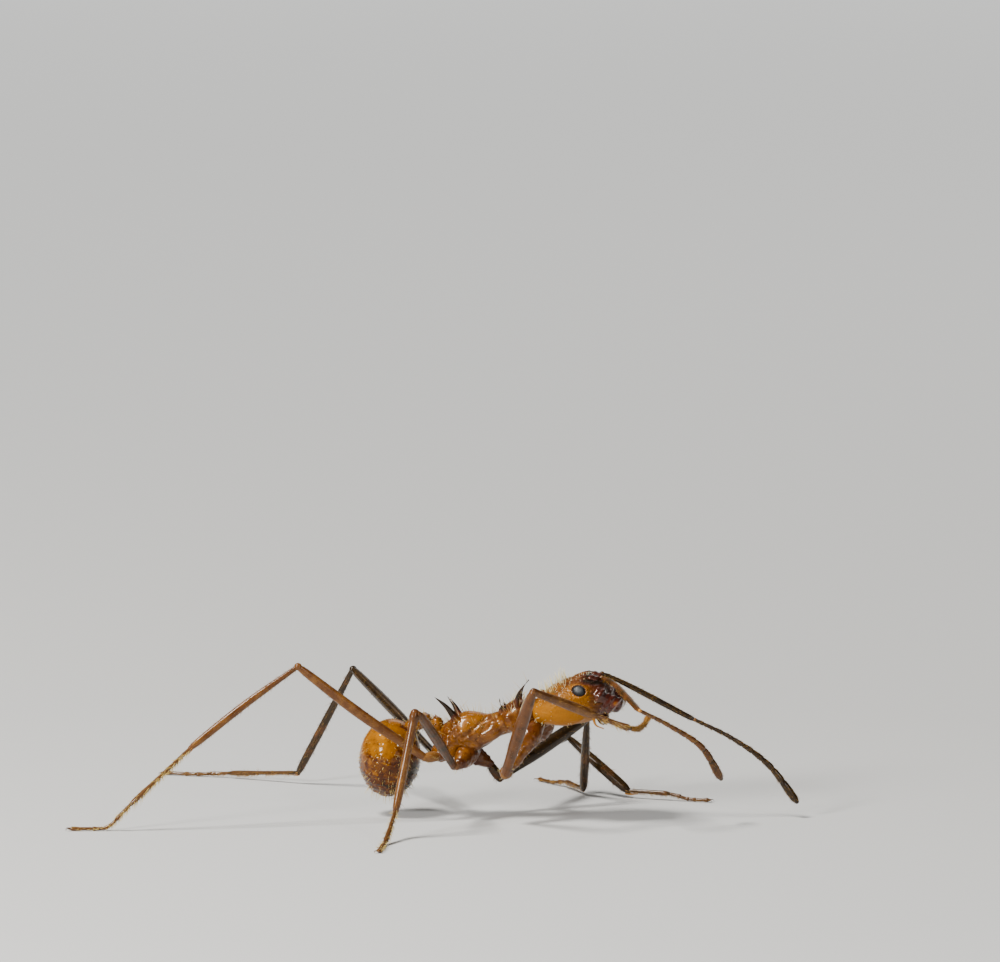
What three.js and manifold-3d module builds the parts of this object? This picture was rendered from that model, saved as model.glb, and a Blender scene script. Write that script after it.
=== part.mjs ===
// A leafcutter ant worker, life size, as a still museum model.
// Millimetres, +Z up. The ant walks towards +X and its left side is +Y. Five feet rest on Z = 0, and
// the right front foot is lifted towards the jaws. Each plate and limb length is a closed solid.
import * as THREE from "three";
import { mergeVertices } from "three/addons/utils/BufferGeometryUtils.js";
import Module from "manifold-3d";

const wasm = await Module();
wasm.setup();

// ---------------------------------------------------------------- driving dimensions
const JOINT_GAP = 0.03; // clear space between neighbouring plates
const TRUNK_YAW = -8; // degrees: head, trunk and gaster turn a little to the ant's right

// Head, trunk, waist and gaster are sized in the trunk's own frame: x ahead, y to the left, z up.
const HEAD_CENTRE = [5.18, 0, 4.3];
const HEAD_STATIONS = [ // from the head's centre: distance ahead, half width, top, bottom
  [-1.53, 0.35, 0.02, -0.5],
  [-1.4, 0.98, 0.24, -0.76],
  [-1.08, 1.28, 0.45, -0.85],
  [-0.65, 1.45, 0.67, -0.86],
  [-0.2, 1.5, 0.84, -0.83],
  [0.3, 1.42, 0.97, -0.78],
  [0.7, 1.28, 1.0, -0.68],
  [0.98, 1.12, 0.9, -0.52],
  [1.16, 0.92, 0.7, -0.36],
  [1.25, 0.56, 0.46, -0.14],
];
const OCCIPUT = { notch: 0.5, halfWidth: 0.5, furrow: 0.16 }; // the cleft between the hind lobes
const EYE = { at: [0.31, 1.26, 0.53], half: [0.25, 0.16, 0.21], tilt: 32 };
const MANDIBLE = {
  root: [0.7, 1.08], // its outline from above, measured from the head's centre
  apex: [1.94, 0.1],
  heel: [1.3, 0.14],
  teeth: 6,
  toothDepth: 0.09,
  dome: { centre: [1.0, 0.5, 0.06], half: [0.98, 0.66, 0.56] },
  dip: 16, // degrees
};
const TRUNK_STATIONS = [ // distance ahead, half width, top, bottom
  [0.3, 0.16, 3.16, 2.9],
  [0.38, 0.34, 3.32, 2.72],
  [0.62, 0.55, 3.5, 2.54],
  [0.95, 0.66, 3.72, 2.46],
  [1.3, 0.7, 3.84, 2.42],
  [1.65, 0.66, 3.84, 2.46],
  [2.0, 0.58, 3.78, 2.6],
  [2.35, 0.55, 3.86, 2.88],
  [2.65, 0.63, 4.06, 3.02],
  [3.0, 0.74, 4.28, 3.1],
  [3.35, 0.72, 4.3, 3.05],
  [3.7, 0.54, 4.16, 3.04],
  [3.95, 0.38, 4.02, 3.2],
  [4.2, 0.3, 3.95, 3.4],
  [4.3, 0.12, 3.8, 3.55],
];
const SUTURES = { propodeum: 1.72, pronotum: 2.5 }; // where the mid thorax meets its neighbours
const SPINES = [
  { on: "pronotum", base: [3.1, 0.45, 4.15], tip: [3.42, 0.74, 5.1], radius: 0.15 },
  { on: "mesothorax", base: [2.46, 0.34, 3.85], tip: [2.34, 0.46, 4.42], radius: 0.11 },
  { on: "propodeum", base: [1.0, 0.34, 3.5], tip: [0.24, 0.8, 4.38], radius: 0.16 },
  { on: "head", base: [4.2, 0.98, 4.35], tip: [3.66, 1.16, 4.62], radius: 0.13 },
];
const SPINE_TIP_RADIUS = 0.03;
const PETIOLE = { centre: [0.17, 0, 3.34], half: [0.23, 0.3, 0.31] };
const PETIOLE_STALK = { from: [0.46, 0, 2.98], to: [0.12, 0, 3.2], radius: 0.2 };
const POSTPETIOLE = { centre: [-0.38, 0, 3.47], half: [0.38, 0.44, 0.28], lean: -20 };
const GASTER = { centre: [-1.55, 0, 2.08], half: [1.12, 1.18, 1.42], lean: 7, tipPlatesBelow: -0.6 };
const GASTER_NECK = { from: [-0.72, 0, 3.3], to: [-1.15, 0, 2.85], radius: 0.26 };

// Limbs: radii from base to end, and lengths for each pair of legs.
const RADII = {
  femur: [0.21, 0.22, 0.28, 0.24],
  tibia: [0.24, 0.25, 0.27],
  heel: [0.25, 0.24],
  foot: [0.24, 0.24, 0.23],
  scape: [0.25, 0.25],
  funiculus: [0.24, 0.25, 0.26],
  club: [0.26, 0.28],
};
const LENGTHS = {
  front: { coxa: 1.68, trochanter: 0.4, femur: 4.1, tibia: 3.1, heel: 1.5, foot: 1.5 },
  middle: { coxa: 1.15, trochanter: 0.8, femur: 3.6, tibia: 3.45, heel: 1.85, foot: 1.8 },
  hind: { coxa: 0.85, trochanter: 0.55, femur: 5.7, tibia: 4.9, heel: 2.9, foot: 2.5 },
};
const HIPS = {
  front: { at: [3.62, 0.42, 3.12], radii: [0.36, 0.38, 0.22] },
  middle: { at: [1.5, 0.4, 2.6], radii: [0.36, 0.42, 0.24] },
  hind: { at: [0.66, 0.36, 2.5], radii: [0.3, 0.34, 0.22] },
};
const FOOT_HEIGHT = 0.2; // centre line of a resting foot above the ground
const SCAPE_ROOT = [6.2, 0.42, 5.12];
const SCAPE_LENGTH = 3.55;
const FUNICULUS_STEP = 1.6; // each of its three lengths

// The pose: each length's heading, from +X towards +Y, and its rise, in degrees, from the hip out.
const STANCE = [
  { leg: "front_right", pair: "front", side: -1, coxa: [-124, -40], trochanter: [-96, -26],
    femur: [-68, 52], tibia: [42, -20.5], heel: [12, -24.5], foot: [62, 17.5], lifted: true },
  { leg: "front_left", pair: "front", side: 1, coxa: [107.5, -34], trochanter: [67.5, 9],
    femur: [69, -2.5], tibia: [-28, -30.5], heel: [-24, -6], foot: [-18, 0] },
  { leg: "middle_right", pair: "middle", side: -1, coxa: [-132.5, -35.5], trochanter: [-131, 31],
    femur: [-111, 33.5], tibia: [-125, -73], heel: [-103, -27], foot: [-97, 0] },
  { leg: "middle_left", pair: "middle", side: 1, coxa: [33, -50.5], trochanter: [26, -10],
    femur: [32, 26.5], tibia: [95.5, -49], heel: [108, -6], foot: [122, 0] },
  { leg: "hind_right", pair: "hind", side: -1, coxa: [-133.5, -28], trochanter: [-149, 16],
    femur: [-170.5, 37.5], tibia: [-162.5, -34.5], heel: [-171, -41], foot: [-178, 0] },
  { leg: "hind_left", pair: "hind", side: 1, coxa: [126.5, -27.5], trochanter: [140, 20.5],
    femur: [121.5, 22.5], tibia: [137, -56], heel: [151, -3], foot: [163, 0] },
];
const FEELERS = [
  { side: "right", sign: -1, scape: [-66, -11], bends: [[44, -28], [38, -35], [37, -44.5]] },
  { side: "left", sign: 1, scape: [-3.5, -24], bends: [[11, -30], [-1, -36.5], [-9, -51.5]] },
];

const SHELL = {
  head: { color: 0x94572a, roughness: 0.3 },
  trunk: { color: 0xa05d28, roughness: 0.3 },
  gaster: { color: 0xa6640f, roughness: 0.28 },
  leg: { color: 0x6f4227, roughness: 0.35 },
  foot: { color: 0xa9813c, roughness: 0.5 },
  feeler: { color: 0x6a4320, roughness: 0.4 },
  jaw: { color: 0x3a120a, roughness: 0.2 },
  eye: { color: 0x22252a, roughness: 0.35 },
};

// How finely shapes are faceted, and how far out the blocks that cut them reach.
const LIMB_SIDES = 8;
const SPINE_SIDES = 6;
const HEAD_FACETS = { rings: 15, sides: 20 };
const TRUNK_FACETS = { rings: 18, sides: 14 };
const SECTION_POWER = 2.3; // 2 is an ellipse, and more is squarer
const CAP_REACH = 0.7; // where a limb's round end has its ring, as a share of the radius
const FAR = 30;

// ---------------------------------------------------------------- shaping helpers
const UP = new THREE.Vector3(0, 0, 1);
const radians = THREE.MathUtils.degToRad;
const vec = (p) => new THREE.Vector3(...p);
const onSide = ([x, y, z], sign) => [x, y * sign, z];
const sum = (a, b) => a.map((value, i) => value + b[i]);

// A closed three.js geometry as a manifold solid, turned inside out if its faces point in.
function solidOf(geometry) {
  const bare = geometry.clone();
  bare.deleteAttribute("normal");
  bare.deleteAttribute("uv");
  const merged = mergeVertices(bare, 1e-5);
  const build = (triVerts) => new wasm.Manifold(new wasm.Mesh({
    numProp: 3,
    vertProperties: merged.getAttribute("position").array,
    triVerts,
  }));
  const faces = new Uint32Array(merged.index.array);
  const solid = build(faces);
  return solid.volume() > 0 ? solid : build(faces.reverse());
}

// A manifold solid as a three.js geometry.
function geometryOf(solid) {
  const mesh = solid.getMesh();
  const geometry = new THREE.BufferGeometry();
  geometry.setAttribute("position", new THREE.BufferAttribute(mesh.vertProperties, 3));
  geometry.setIndex(new THREE.BufferAttribute(mesh.triVerts, 1));
  geometry.computeVertexNormals();
  return geometry;
}

// A sphere whose every vertex is moved to place(ring, angle around it).
function reshapedSphere(rings, sides, place) {
  const geometry = new THREE.SphereGeometry(1, sides, rings);
  const position = geometry.getAttribute("position");
  for (let i = 0; i < position.count; i += 1) {
    const ring = Math.floor(i / (sides + 1));
    const angle = (2 * Math.PI * (i % (sides + 1))) / sides;
    const point = place(ring, angle);
    position.setXYZ(i, point.x, point.y, point.z);
  }
  return solidOf(geometry);
}

// A loft along X through stations of half width, top and bottom, with softly squared sections.
function loft(stations, { rings, sides, grow = 0, warp = (point) => point }) {
  const curve = (pick) => new THREE.CatmullRomCurve3(stations.map(pick));
  const crest = curve(([x, wide, top]) => new THREE.Vector3(x, wide, top));
  const keel = curve(([x, wide, , bottom]) => new THREE.Vector3(x, wide, bottom));
  const soft = (value) => Math.sign(value) * Math.abs(value) ** (2 / SECTION_POWER);
  const place = (ring, angle) => {
    const share = THREE.MathUtils.clamp((ring - 1) / (rings - 2), 0, 1);
    const high = crest.getPoint(share);
    const low = keel.getPoint(share);
    const middle = (high.z + low.z) / 2;
    if (ring === 0) return warp(new THREE.Vector3(high.x - 0.06 - grow, 0, middle));
    if (ring === rings) return warp(new THREE.Vector3(high.x + 0.06 + grow, 0, middle));
    const across = (high.y + grow) * soft(Math.cos(angle));
    const up = ((high.z - low.z) / 2 + grow) * soft(Math.sin(angle));
    return warp(new THREE.Vector3(high.x, across, middle + up));
  };
  return reshapedSphere(rings, sides, place);
}

// An ellipsoid with half sizes along X, Y and Z, leaned about Y and tilted about X.
function ball(centre, half, { rings = 8, sides = 14, grow = 0, lean = 0, tilt = 0 } = {}) {
  const geometry = new THREE.SphereGeometry(1, sides, rings);
  geometry.rotateX(Math.PI / 2);
  geometry.scale(half[0] + grow, half[1] + grow, half[2] + grow);
  geometry.rotateY(radians(lean));
  geometry.rotateX(radians(tilt));
  geometry.translate(...centre);
  return solidOf(geometry);
}

// A round-ended limb with a ring of the given radius at each point of its centre line.
function limb(points, radii, { sides = LIMB_SIDES, grow = 0 } = {}) {
  const last = points.length - 1;
  const along = (i) => points[Math.min(i + 1, last)].clone().sub(points[Math.max(i - 1, 0)]).normalize();
  const stop = (i, reach, share) => {
    const radius = radii[i] + grow;
    const centre = points[i].clone().addScaledVector(along(i), reach * radius);
    return { centre, tangent: along(i), radius: radius * share };
  };
  const shoulder = Math.sqrt(1 - CAP_REACH ** 2);
  const stops = [
    stop(0, -1, 0),
    stop(0, -CAP_REACH, shoulder),
    ...points.map((_, i) => stop(i, 0, 1)),
    stop(last, CAP_REACH, shoulder),
    stop(last, 1, 0),
  ];
  let across = UP;
  for (const each of stops) {
    across = across.clone().addScaledVector(each.tangent, -across.dot(each.tangent)).normalize();
    each.across = across;
    each.third = each.tangent.clone().cross(across);
  }
  return reshapedSphere(stops.length - 1, sides, (ring, angle) => {
    const { centre, across: u, third: v, radius } = stops[ring];
    return centre.clone()
      .addScaledVector(u, radius * Math.cos(angle))
      .addScaledVector(v, radius * Math.sin(angle));
  });
}

// A straight limb of one radius.
const rod = ({ from, to, radius }, grow) => limb([vec(from), vec(to)], [radius, radius], { grow });

// A box from one corner to the other, for cutting.
function block(low, high) {
  const size = high.map((value, i) => value - low[i]);
  const geometry = new THREE.BoxGeometry(...size);
  geometry.translate(...low.map((value, i) => value + size[i] / 2));
  return solidOf(geometry);
}

// The slab between two heights along axis 0, 1 or 2.
function slab(axis, from, to) {
  const low = [-FAR, -FAR, -FAR];
  const high = [FAR, FAR, FAR];
  low[axis] = from;
  high[axis] = to;
  return block(low, high);
}

// The points reached from a start by steps, each of a heading and rise in degrees and a length.
function walk(start, steps) {
  const points = [start];
  for (const [[heading, rise], length] of steps) {
    const flat = Math.cos(radians(rise));
    const way = new THREE.Vector3(
      Math.cos(radians(heading)) * flat,
      Math.sin(radians(heading)) * flat,
      Math.sin(radians(rise)),
    );
    points.push(points.at(-1).clone().addScaledVector(way, length));
  }
  return points;
}

// ---------------------------------------------------------------- adding a piece
const ant = new THREE.Group();
const cutters = []; // a slightly larger copy of every piece so far

// From the trunk's own frame to the ant's, for a solid and for a point.
const turned = (solid) => solid.rotate([0, 0, TRUNK_YAW]);
const trunkPoint = (p) => vec(p).applyAxisAngle(UP, radians(TRUNK_YAW));

// Adds the piece that shape(0) makes, less the room that its earlier neighbours need.
function add(name, shell, shape) {
  const cut = cutters.reduce((solid, cutter) => solid.subtract(cutter), shape(0));
  const [largest] = cut.decompose().sort((a, b) => b.volume() - a.volume());
  const material = new THREE.MeshStandardMaterial({ ...SHELL[shell], metalness: 0 });
  const mesh = new THREE.Mesh(geometryOf(largest), material);
  mesh.name = name;
  ant.add(mesh);
  cutters.push(shape(JOINT_GAP));
}

// ---------------------------------------------------------------- head
// Joins the spines that a plate carries, one on each side.
function withSpines(plate, on, grow) {
  let joined = plate;
  for (const { base, tip, radius } of SPINES.filter((spine) => spine.on === on)) {
    for (const sign of [-1, 1]) {
      const points = [vec(onSide(base, sign)), vec(onSide(tip, sign))];
      joined = joined.add(limb(points, [radius, SPINE_TIP_RADIUS], { sides: SPINE_SIDES, grow }));
    }
  }
  return joined;
}

function addEye(side, sign) {
  const centre = sum(HEAD_CENTRE, onSide(EYE.at, sign));
  const facets = { rings: 6, sides: 10, tilt: sign * EYE.tilt };
  add(`eye_${side}`, "eye", (grow) => turned(ball(centre, EYE.half, { ...facets, grow })));
}

function addHead() {
  const cleft = (point) => {
    const middle = Math.exp(-((point.y / OCCIPUT.halfWidth) ** 2));
    const behind = THREE.MathUtils.smoothstep(-point.x, 0.2, 1.5);
    const above = point.z > 0 ? THREE.MathUtils.smoothstep(-point.x, -0.6, 0.9) : 0;
    point.x += OCCIPUT.notch * behind * middle;
    point.z -= OCCIPUT.furrow * above * middle;
    return point;
  };
  add("head", "head", (grow) => {
    const capsule = loft(HEAD_STATIONS, { ...HEAD_FACETS, grow, warp: cleft });
    return turned(withSpines(capsule.translate(HEAD_CENTRE), "head", grow));
  });
}

// A jaw's outline from above: convex outside, toothed inside, its apex near the middle.
function mandibleOutline(grow) {
  const { root, apex, heel, teeth, toothDepth } = MANDIBLE;
  const tip = new THREE.Vector2(apex[0] + grow, apex[1] - grow);
  const back = new THREE.Vector2(heel[0] - grow, heel[1] - grow);
  const outline = new THREE.Shape();
  outline.moveTo(root[0] - grow, root[1] + grow);
  outline.quadraticCurveTo(apex[0] - 0.1 + grow, root[1] + grow, tip.x, tip.y);
  for (let i = 1; i <= teeth; i += 1) {
    const notch = tip.clone().lerp(back, (i - 0.5) / teeth);
    const tooth = tip.clone().lerp(back, i / teeth);
    outline.lineTo(notch.x, notch.y + toothDepth);
    outline.lineTo(tooth.x, tooth.y);
  }
  outline.lineTo(root[0] - grow, back.y + 0.3);
  outline.closePath();
  return outline;
}

// A jaw: that outline cut through a domed solid, then dipped at the apex.
function addMandible(side, sign) {
  const { dome, dip } = MANDIBLE;
  const depth = 4 * dome.half[2];
  const straight = { depth, bevelEnabled: false, curveSegments: 6 };
  add(`mandible_${side}`, "jaw", (grow) => {
    const blade = new THREE.ExtrudeGeometry(mandibleOutline(grow), straight);
    blade.translate(0, 0, -depth / 2);
    const domed = solidOf(blade).intersect(ball(dome.centre, dome.half, { grow }));
    const hinge = dome.centre[0];
    const dipped = domed.translate([-hinge, 0, 0]).rotate([0, dip, 0]).translate([hinge, 0, 0]);
    const sided = sign < 0 ? dipped.mirror([0, 1, 0]) : dipped;
    return turned(sided.translate(HEAD_CENTRE));
  });
}

// ---------------------------------------------------------------- trunk, waist and gaster
// The trunk is lofted whole, then parted across at its sutures.
function addThorax() {
  const plates = [
    ["propodeum", -FAR, SUTURES.propodeum],
    ["mesothorax", SUTURES.propodeum, SUTURES.pronotum],
    ["pronotum", SUTURES.pronotum, FAR],
  ];
  for (const [name, from, to] of plates) {
    add(name, "trunk", (grow) => {
      const whole = loft(TRUNK_STATIONS, { ...TRUNK_FACETS, grow });
      return turned(withSpines(whole.intersect(slab(0, from - grow, to + grow)), name, grow));
    });
  }
}

function addWaist() {
  add("petiole", "trunk", (grow) => {
    const node = ball(PETIOLE.centre, PETIOLE.half, { grow });
    return turned(node.add(rod(PETIOLE_STALK, grow)));
  });
  const { centre, half, lean } = POSTPETIOLE;
  add("postpetiole", "trunk", (grow) => turned(ball(centre, half, { grow, lean })));
}

// The gaster hangs from the waist, its hind plates parted from the large first one.
function addGaster() {
  const { centre, half, lean, tipPlatesBelow } = GASTER;
  const part = (grow, from, to) => {
    const egg = ball([0, 0, 0], half, { rings: 14, sides: 20, grow });
    return egg.intersect(slab(2, from - grow, to + grow)).rotate([0, lean, 0]).translate(centre);
  };
  add("gaster_tip", "gaster", (grow) => turned(part(grow, -FAR, tipPlatesBelow)));
  add("gaster_front", "gaster", (grow) => (
    turned(part(grow, tipPlatesBelow, FAR).add(rod(GASTER_NECK, grow)))
  ));
}

// ---------------------------------------------------------------- limbs
function addFeeler({ side, sign, scape, bends }) {
  const root = trunkPoint(onSide(SCAPE_ROOT, sign));
  const steps = [[scape, SCAPE_LENGTH], ...bends.map((bend) => [bend, FUNICULUS_STEP])];
  const [, elbow, near, far, tip] = walk(root, steps);
  add(`scape_${side}`, "feeler", (grow) => limb([root, elbow], RADII.scape, { grow }));
  add(`funiculus_${side}`, "feeler", (grow) => limb([elbow, near, far], RADII.funiculus, { grow }));
  add(`antenna_club_${side}`, "feeler", (grow) => limb([far, tip], RADII.club, { grow }));
}

// A foot that rests is cut flat at the ground.
const grounded = (solid, grow) => solid.subtract(slab(2, -FAR, -grow));

function addLeg(stance) {
  const { leg, pair, side, lifted } = stance;
  const size = LENGTHS[pair];
  const hip = trunkPoint(onSide(HIPS[pair].at, side));
  const lengths = ["coxa", "trochanter", "femur", "tibia", "heel"];
  const [, hinge, thigh, knee, ankle, ball_] = walk(hip, lengths.map((name) => [stance[name], size[name]]));
  const half = size.foot / 2;
  const fall = THREE.MathUtils.radToDeg(Math.asin((ball_.z - FOOT_HEIGHT) / half));
  const bend = lifted ? stance.foot : [stance.foot[0], -fall];
  const foot = walk(ball_, [[bend, half], [stance.foot, half]]);
  const coxa = [hip, hip.clone().lerp(hinge, 0.45), hinge];
  const femur = [hinge, thigh, thigh.clone().lerp(knee, 0.4), knee];
  const tibia = [knee, knee.clone().lerp(ankle, 0.4), ankle];
  add(`coxa_${leg}`, "trunk", (grow) => limb(coxa, HIPS[pair].radii, { grow }));
  add(`femur_${leg}`, "leg", (grow) => limb(femur, RADII.femur, { grow }));
  add(`tibia_${leg}`, "leg", (grow) => limb(tibia, RADII.tibia, { grow }));
  add(`heel_${leg}`, "foot", (grow) => grounded(limb([ankle, ball_], RADII.heel, { grow }), grow));
  add(`foot_${leg}`, "foot", (grow) => grounded(limb(foot, RADII.foot, { grow }), grow));
}

// ---------------------------------------------------------------- the ant
const SIDES = [["right", -1], ["left", 1]];
SIDES.forEach(([side, sign]) => addEye(side, sign));
addThorax();
addHead();
SIDES.forEach(([side, sign]) => addMandible(side, sign));
addWaist();
addGaster();
FEELERS.forEach(addFeeler);
STANCE.forEach(addLeg);

// The origin is the middle of the footprint, on the ground.
const extent = new THREE.Box3().setFromObject(ant, true);
const middle = extent.getCenter(new THREE.Vector3());
ant.position.set(-middle.x, -middle.y, -extent.min.z);

export default ant;
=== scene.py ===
"""A leafcutter ant worker, life size, as a still museum model in a plain pale studio.

Lengths here are millimetres and angles are degrees. The body's own frame has x ahead, y to the left and
z up from the floor, and each shell piece is built there, or along the limbs that the fixed frame holds.
"""

import enum
import functools
import logging
import math
from dataclasses import dataclass, field
from typing import Callable, Sequence

import bpy
import numpy as np
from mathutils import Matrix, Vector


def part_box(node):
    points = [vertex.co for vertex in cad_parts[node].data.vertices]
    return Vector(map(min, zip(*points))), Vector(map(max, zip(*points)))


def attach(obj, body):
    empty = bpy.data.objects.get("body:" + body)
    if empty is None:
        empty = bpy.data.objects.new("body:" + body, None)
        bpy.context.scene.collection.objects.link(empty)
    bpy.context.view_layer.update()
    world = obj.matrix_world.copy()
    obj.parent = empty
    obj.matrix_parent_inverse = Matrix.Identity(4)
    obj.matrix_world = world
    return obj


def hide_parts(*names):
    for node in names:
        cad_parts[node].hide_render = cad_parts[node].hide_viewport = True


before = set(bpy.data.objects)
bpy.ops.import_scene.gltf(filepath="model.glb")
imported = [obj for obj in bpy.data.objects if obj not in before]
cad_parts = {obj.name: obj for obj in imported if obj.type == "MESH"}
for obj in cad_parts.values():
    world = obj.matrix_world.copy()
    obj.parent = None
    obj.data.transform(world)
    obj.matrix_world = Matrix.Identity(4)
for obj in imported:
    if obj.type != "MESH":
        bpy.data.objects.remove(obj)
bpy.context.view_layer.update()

MM = 0.001
UP = np.array((0.0, 0.0, 1.0))
SIDES = (("right", -1), ("left", 1))
Array = np.ndarray
Triple = tuple[float, float, float]
Knots = Sequence[Sequence[float]]
log = logging.getLogger("ant")


# ------------------------------ vectors and curves
def vec(values: Sequence[float]) -> Array:
    """Returns the values as a float array."""
    return np.array(values, float)


def unit(vectors: Array) -> Array:
    """Returns the vectors at length one."""
    return vectors / np.maximum(np.linalg.norm(vectors, axis=-1, keepdims=True), 1e-12)


def mirrored(point: Sequence[float], side: int) -> Array:
    """Returns a left-side point of the body's frame, on the side asked for."""
    return vec(point) * (1, side, 1)


def smoothstep(value: Array, low: float, high: float) -> Array:
    """Returns 0 below low and 1 above high, with a smooth rise between them."""
    share = np.clip((np.asarray(value) - low) / (high - low), 0, 1)
    return share * share * (3 - 2 * share)


def bell(value: Array, width: float) -> Array:
    """Returns 1 where the value is 0, falling smoothly to nothing well past the width."""
    return np.exp(-((value / width) ** 2))


def catmull(knots: Knots, count: int) -> Array:
    """Runs one smooth curve through knots of any dimension.

    Args:
        knots: the values that the curve passes through.
        count: how many points to return.

    Returns:
        The points, evenly spaced in the knots' numbering.
    """
    rows = vec(knots)
    padded = np.vstack([2 * rows[0] - rows[1], rows, 2 * rows[-1] - rows[-2]])
    where = np.linspace(0, len(rows) - 1 - 1e-9, count)
    index = where.astype(int)
    t = (where - index)[:, None]
    a, b, c, d = (padded[index + k] for k in range(4))
    return 0.5 * (2 * b + (c - a) * t + (2 * a - 5 * b + 4 * c - d) * t**2 + (3 * b - a - 3 * c + d) * t**3)


def path_through(knots: Knots, count: int) -> Array:
    """Runs a path at an even pace along the smooth curve through the knots.

    Args:
        knots: what the path passes through.
        count: how many points to return.

    Returns:
        The points, at even distances.
    """
    fine = catmull(knots, 400)
    along = np.concatenate([[0], np.cumsum(np.linalg.norm(np.diff(fine, axis=0), axis=1))])
    where = np.linspace(0, along[-1], count)
    return np.stack([np.interp(where, along, fine[:, k]) for k in range(fine.shape[1])], axis=1)


def profile(stations: Knots, shares: Array) -> Array:
    """Returns the values, at the shares, of the smooth curve through (share, value) stations."""
    curve = catmull(stations, 200)
    return np.interp(shares, curve[:, 0], curve[:, 1])


def scaled(stations: Knots, size: float) -> list[tuple[float, float]]:
    """Returns (share, value) stations with their values as multiples of a size."""
    return [(share, value * size) for share, value in stations]


def turn(points: Array, axis: int, angle: float, pivot: Sequence[float] = (0, 0, 0)) -> Array:
    """Turns points about an axis through a pivot.

    Args:
        points: the points to turn.
        axis: 0, 1 or 2, for X, Y or Z.
        angle: degrees, by the right-hand rule.
        pivot: a point on the axis.

    Returns:
        The turned points.
    """
    c, s = math.cos(math.radians(angle)), math.sin(math.radians(angle))
    j, k = (axis + 1) % 3, (axis + 2) % 3
    moved = np.asarray(points, float) - pivot
    result = moved.copy()
    result[..., j] = c * moved[..., j] - s * moved[..., k]
    result[..., k] = s * moved[..., j] + c * moved[..., k]
    return result + pivot


# ------------------------------ solids
def placed(name: str, data: bpy.types.ID) -> bpy.types.Object:
    """Puts a new object into the scene.

    Args:
        name: its name.
        data: its mesh, lamp or camera.

    Returns:
        The object.
    """
    thing = bpy.data.objects.new(name, data)
    bpy.context.scene.collection.objects.link(thing)
    return thing


def read(rows: bpy.types.bpy_prop_collection, key: str, width: int = 0) -> Array:
    """Reads one property of every row of a mesh.

    Args:
        rows: the mesh's points, corners or faces.
        key: the property.
        width: how many decimal numbers it holds, or 0 for one whole number.

    Returns:
        Its numbers, in one line.
    """
    numbers = np.empty(len(rows) * max(width, 1), np.float32 if width else np.int32)
    rows.foreach_get(key, numbers)
    return numbers


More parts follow.
